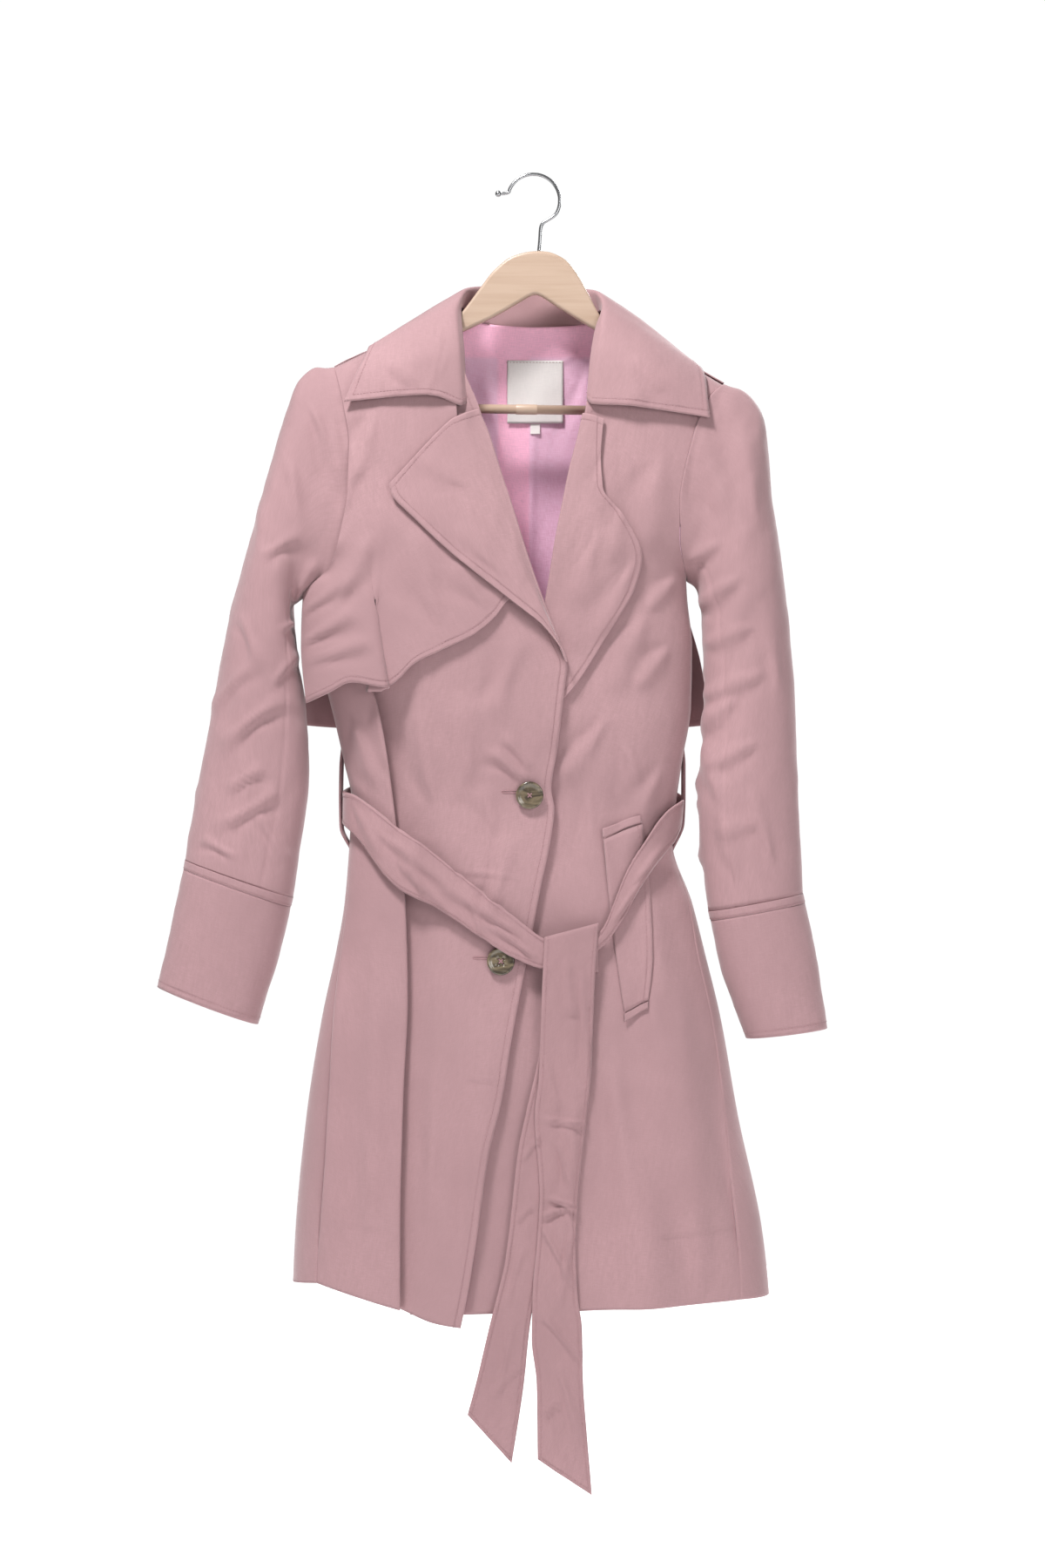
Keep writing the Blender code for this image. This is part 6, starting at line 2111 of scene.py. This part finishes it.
    def grained(self, name: str, look: Surface, along: float, across: float, warp: float, low: float,
                high: float, depth: float) -> bpy.types.Material:
        """Wood or horn: streaks of the second colour in the first.

        Args:
            name: the material's name.
            look: its constants.
            along: how fine the streaks are along X.
            across: how fine they are across.
            warp: how far they wander.
            low: mask value where the second colour starts.
            high: mask value where it is full.
            depth: depth of the fine relief in metres.

        Returns:
            The material.
        """
        material, tree, shader = look.start(name)
        place = tree.nodes.new("ShaderNodeTexCoord")
        grain = self.use(tree, "grain", place.outputs["Object"], Along=along, Across=across, Warp=warp)
        share = spread(tree, grain.outputs["Mask"], low, high)
        tree.links.new(blend(tree, share, look.shade(1.0), (*look.second, 1)), shader.inputs["Base Color"])
        maths = Maths(tree)
        rough = maths.add(maths.times(grain.outputs["Height"], 0.14), look.roughness - 0.07)
        tree.links.new(rough, shader.inputs["Roughness"])
        self.bump(tree, shader, (grain.outputs["Height"], 0.25, depth))
        return material

    def build(self) -> dict[Finish, bpy.types.Material]:
        """Build the groups and all the materials.

        Returns:
            The material of each finish.
        """
        self.groups = {"twill": twill_group(), "sewn_edge": worn_edge_group(), "grain": grain_group()}
        return {
            Finish.CLOTH: self.woven("pink_twill", self.cloth, 0.0009),
            Finish.BELT: self.woven("pink_twill_belt", self.belt, 0.0009),
            Finish.LINING: self.woven("shot_lining", self.lining, 0.0005, toned=True),
            Finish.LABEL: self.woven("cream_label", self.label, 0.0008),
            Finish.HORN: self.grained("streaked_horn", self.horn, 40.0, 110.0, 1.8, 0.36, 0.62, 0.000004),
            Finish.WOOD: self.grained("pale_wood", self.wood, 9.0, 190.0, 0.5, 0.38, 0.86, 0.00006),
            Finish.STEEL: self.grained("bright_wire", self.steel, 700.0, 700.0, 0.2, 0.3, 0.9, 0.00002),
            Finish.THREAD: self.grained("pink_thread", self.thread, 900.0, 900.0, 0.2, 0.3, 0.8, 0.00005),
        }


# ---- stage

@dataclass
class Stage:
    """Pale floor, soft studio light and the camera."""

    camera_at: tuple[float, float, float] = (-0.0152, -3.3, -0.6227)
    lens: float = 73.83
    floor_height: float = -1.62
    floor_radius: float = 3.4
    glow: float = 0.6
    ambient: float = 0.27
    seen_white: float = 1.02
    paper: tuple[float, float, float] = (0.90, 0.90, 0.90)
    lamps: tuple[tuple, ...] = (
        ("key", (-0.85, -1.15, 1.80), (0.10, 0, -0.80), 0.5, 96),
        ("fill", (1.7, -3.1, 0.1), (0, 0, -0.7), 1.3, 34),
        ("back", (1.7, 2.5, 1.0), (0, 0, -0.6), 1.4, 78))

    def paper_material(self) -> bpy.types.Material:
        """The pale paper of the floor, which glows a little so that it stays pale far from the lamps.

        Returns:
            The material.
        """
        material = bpy.data.materials.new("studio_paper")
        material.use_nodes = True
        shader = material.node_tree.nodes["Principled BSDF"]
        fill(shader, {"Base Color": (*self.paper, 1), "Roughness": 0.95, "Specular IOR Level": 0.1,
                      "Emission Color": (1, 1, 1, 1), "Emission Strength": self.glow})
        return material

    def floor(self) -> None:
        """A round floor well below the hanging coat."""
        turn = np.linspace(0, 2 * math.pi, 96, endpoint=False)
        rim = np.stack([self.floor_radius * np.cos(turn), self.floor_radius * np.sin(turn),
                        np.full_like(turn, self.floor_height)], axis=-1)
        mesh = bpy.data.meshes.new("studio_floor")
        mesh.from_pydata(rim.tolist(), [], [tuple(range(len(rim)))])
        mesh.materials.append(self.paper_material())
        floor = linked("studio_floor", mesh)

    def sky(self) -> None:
        """A white surround to the eye that gives only a soft part of the light."""
        world = bpy.context.scene.world or bpy.data.worlds.new("studio")
        bpy.context.scene.world = world
        world.use_nodes = True
        nodes, links = world.node_tree.nodes, world.node_tree.links
        sky = nodes.get("Background") or nodes.new("ShaderNodeBackground")
        sky.inputs["Color"].default_value = (1.0, 1.0, 1.0, 1)
        seen, power = nodes.new("ShaderNodeLightPath"), nodes.new("ShaderNodeMapRange")
        fill(power, {"To Min": self.ambient, "To Max": self.seen_white})
        links.new(seen.outputs["Is Camera Ray"], power.inputs["Value"])
        links.new(power.outputs["Result"], sky.inputs["Strength"])

    def light(self, name: str, at: tuple[float, float, float], aim: tuple[float, float, float], size: float,
              watts: float) -> None:
        """A square soft light.

        Args:
            name: its name.
            at: where it stands.
            aim: the point it faces.
            size: its side in metres.
            watts: its power.
        """
        data = bpy.data.lights.new(name, "AREA")
        data.shape, data.size, data.energy = "SQUARE", size, watts
        lamp = linked(name, data)
        way = np.array(aim) - np.array(at)
        lamp.rotation_euler = (math.atan2(math.hypot(way[0], way[1]), -way[2]), 0,
                               math.atan2(way[1], way[0]) - math.pi / 2)
        lamp.location = at

    def build(self) -> None:
        """Set up the stage."""
        camera_data = bpy.data.cameras.new("photo_camera")
        camera_data.lens, camera_data.sensor_width = self.lens, 36.0
        camera = linked("photo_camera", camera_data)
        camera.location = self.camera_at
        camera.rotation_euler = (math.pi / 2, 0, 0)
        bpy.context.scene.camera = camera
        self.floor()
        self.sky()
        for lamp in self.lamps:
            self.light(*lamp)
        bpy.context.scene.view_settings.view_transform = "Standard"


# ---- drapes

def drape(creases: Rows, *rumples: Rumple) -> Drape:
    """A drape whose creases are rows of start, end, width, height and bow."""
    return Drape(tuple(Crease(*row) for row in creases), rumples)


FRONT_DRAPE = drape((
    (-247, -439, -195, -369, 8, 4.5, 2), (-238, -483, -181, -448, 7, 4.2), (-234, -502, -164, -478, 6, 3.4),
    (-243, -408, -203, -395, 6, 3.1), (-164, -246, -190, -325, 9, 4.2, 2), (-186, -273, -195, -351, 7, 3.1),
    (-238, -452, -186, -413, 6, 3.1), (-203, -448, -166, -369, 9, 3.6), (-129, -360, -98, -465, 14, 3.6),
    (-85, -395, -50, -448, 12, 2.5), (-190, -553, -162, -631, 7, 3.9), (-164, -535, -142, -623, 8, 4.2),
    (-122, -535, -103, -649, 12, 4.2, -3), (-76, -526, -68, -623, 16, 3.1), (-50, -586, -13, -619, 7, 3.9),
    (-34, -572, -5, -609, 6, 2.8), (-17, -465, -45, -561, 16, 3.6), (-57, -623, -41, -675, 12, 2.2),
    (-85, -710, -15, -717, 2.2, 1.1), (-24, -666, -50, -763, 12, 3.1), (-120, -666, -131, -719, 10, 2.8),
    (127, -290, 107, -395, 14, 3.6), (142, -413, 109, -449, 7, 3.4), (135, -483, 99, -528, 8, 3.6),
    (72, -553, 20, -623, 11, 3.6, 3), (112, -448, 72, -535, 14, 3.9), (88, -579, 113, -658, 12, 3.9),
    (127, -605, 86, -697, 10, 3.6), (51, -623, 58, -719, 12, 2.5), (-76, -918, -24, -921, 2.4, 1.3),
    (-48, -841, -68, -1148, 20, 4.8), (-99, -806, -110, -1060, 14, 3.9), (-129, -868, -125, -1104, 9, 2.5),
    (72, -885, 109, -1148, 22, 6.2), (37, -920, 30, -1130, 14, 3.6), (144, -815, 165, -1139, 18, 6.4),
    (191, -859, 214, -1130, 9, 5.6), (109, -815, 134, -920, 14, 3.6), (-199, -754, -218, -1113, 16, 6.2),
    (-162, -780, -169, -1104, 12, 4.2), (-232, -868, -238, -1104, 8, 3.6), (-238, -1062, -139, -1069, 2.2, 1),
    (64, -1081, 223, -1064, 2.4, 1.1)), Rumple(0.6, 120, 3), Rumple(0.2, 42, 8, 1.4))
BACK_DRAPE = drape((
    (-120, -640, -150, -1140, 24, 5.5, 6), (-50, -700, -58, -1140, 22, 4.4), (30, -690, 36, -1140, 22, 4.8),
    (110, -660, 140, -1140, 24, 5.4, -6), (-180, -300, -60, -360, 13, 3), (140, -300, 40, -370, 13, 3),
    (-150, -555, -40, -612, 11, 3.2), (120, -560, 10, -625, 11, 3.2), (-160, -590, -90, -640, 8, 2.6),
    (130, -600, 60, -650, 8, 2.6), (-90, -500, -70, -610, 11, 2.6), (60, -480, 45, -600, 11, 2.6),
    (-110, -230, -70, -320, 12, 2.2), (90, -240, 60, -330, 12, 2.2), (-150, -840, -130, -1020, 10, 3),
    (80, -820, 92, -1000, 11, 3), (-20, -880, -14, -1100, 12, 2.6), (-90, -770, -96, -960, 9, 2.4)),
    Rumple(0.8, 130, 13), Rumple(0.3, 44, 18, 1.4))
RIGHT_SLEEVE_DRAPE = drape((
    (-234, -233, -195, -325, 8, 3.4, 3), (-213, -245, -173, -351, 9, 2.8), (-251, -290, -236, -395, 12, 3.2),
    (-251, -441, -223, -395, 6, 3.4), (-262, -470, -227, -439, 6, 3.2), (-281, -395, -238, -367, 8, 3),
    (-321, -589, -251, -535, 9, 4.4, 4), (-316, -630, -274, -605, 7, 3.4), (-337, -553, -285, -498, 9, 3.4),
    (-330, -668, -258, -627, 8, 3.6, -3), (-302, -448, -278, -509, 8, 2.6), (-285, -649, -249, -710, 7, 2.8),
    (-343, -675, -302, -698, 6, 2.4), (-278, -325, -286, -439, 14, 3), (-271, -526, -238, -483, 7, 3)),
    Rumple(0.7, 90, 23), Rumple(0.32, 36, 28, 1.4))
LEFT_SLEEVE_DRAPE = drape((
    (160, -255, 191, -360, 13, 4, 3), (204, -246, 223, -360, 11, 3.2), (151, -397, 186, -378, 6, 3),
    (151, -449, 205, -413, 8, 3.6), (151, -581, 204, -535, 8, 4.6, 4), (160, -537, 232, -509, 8, 3.6),
    (169, -607, 223, -579, 7, 3.6), (160, -560, 188, -649, 8, 3.2), (214, -623, 239, -710, 8, 3.2),
    (186, -649, 204, -729, 7, 3), (230, -439, 244, -535, 10, 3), (165, -483, 221, -462, 8, 2.8),
    (177, -675, 230, -658, 7, 2.4)), Rumple(0.7, 90, 33), Rumple(0.32, 36, 38, 1.4))
COLLAR_DRAPE = drape((
    (-82, -152, -109, -232, 5, 3.6, 2), (95, -185, 125, -229, 9, 2.3), (-155, -194, -122, -220, 9, 2.1),
    (-24, -143, 20, -150, 8, 1.8)), Rumple(0.8, 70, 43))
LAPEL_DRAPE = drape((
    (-50, -290, -13, -395, 14, 2.3, 4), (-120, -290, -68, -325, 10, 1.8), (-85, -360, -33, -414, 8, 1.6),
    (-129, -308, -85, -378, 9, 1.3), (92, -325, 72, -404, 10, 2.7), (64, -360, 37, -448, 13, 2.7),
    (100, -395, 55, -484, 8, 2), (20, -378, 2, -439, 8, 1.3), (72, -273, 67, -325, 6, 2)), Rumple(0.25, 80, 53))
BELT_DRAPE = drape((
    (-164, -671, -85, -729, 5, 3.1, 2), (-103, -719, -13, -777, 5, 3.4), (-146, -697, -85, -754, 4, 2.6),
    (-50, -761, 1, -799, 4, 2.9), (-186, -645, -155, -701, 5, 3.1), (-177, -636, -129, -666, 4, 2.6),
    (74, -764, 135, -675, 5, 3.4), (92, -728, 127, -686, 4, 2.3), (-129, -701, -115, -736, 4, 2.1),
    (-68, -736, -57, -773, 4, 1.8)), Rumple(0.6, 40, 63, 1))
TAIL_DRAPE = drape((
    (20, -855, 57, -841, 4, 2.8), (29, -876, 65, -878, 4, 2.2), (4, -959, 57, -965, 4, 3.4),
    (9, -1036, 44, -1048, 4, 4.2), (1, -1057, 37, -1043, 4, 3.6), (20, -978, 34, -1027, 4, 3.1),
    (29, -794, 33, -861, 5, 2.5), (2, -1060, 39, -1130, 5, 3.9), (36, -1060, 20, -1148, 4, 3.4),
    (1, -1148, 48, -1202, 5, 3.6), (20, -1200, 43, -1279, 6, 3.1), (8, -894, 20, -952, 5, 2.5),
    (44, -798, 51, -938, 4, 2.5), (-17, -1001, 4, -973, 4, 3.4), (-24, -1062, -3, -1043, 4, 3.4),
    (-13, -1078, -33, -1148, 5, 3.4), (-22, -1148, -41, -1237, 5, 3.1), (-52, -1237, -13, -1200, 5, 2.8),
    (2, -1253, 29, -1235, 5, 2.5)), Rumple(0.8, 54, 73, 1.6))


def main() -> None:
    """Build the coat and its hanger piece by piece."""
    logging.basicConfig(level=logging.INFO, format="%(name)s %(message)s")
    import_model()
    Stage().build()
    wardrobe = Wardrobe(BodyForm(), FRONT_DRAPE, BACK_DRAPE, Finishes().build())
    body = Body(wardrobe)
    body.build()
    Sleeves(wardrobe, body, right_drape=RIGHT_SLEEVE_DRAPE, left_drape=LEFT_SLEEVE_DRAPE).build()
    Collar(wardrobe, body, collar_drape=COLLAR_DRAPE, lapel_drape=LAPEL_DRAPE).build()
    Belt(wardrobe, body, drape=BELT_DRAPE, tail_drape=TAIL_DRAPE).build()
    Inside(wardrobe).build()
    Hanger(wardrobe).build()
    Buttons(wardrobe).build()
    Stitching(wardrobe).build()


if __name__ == "__main__":
    main()
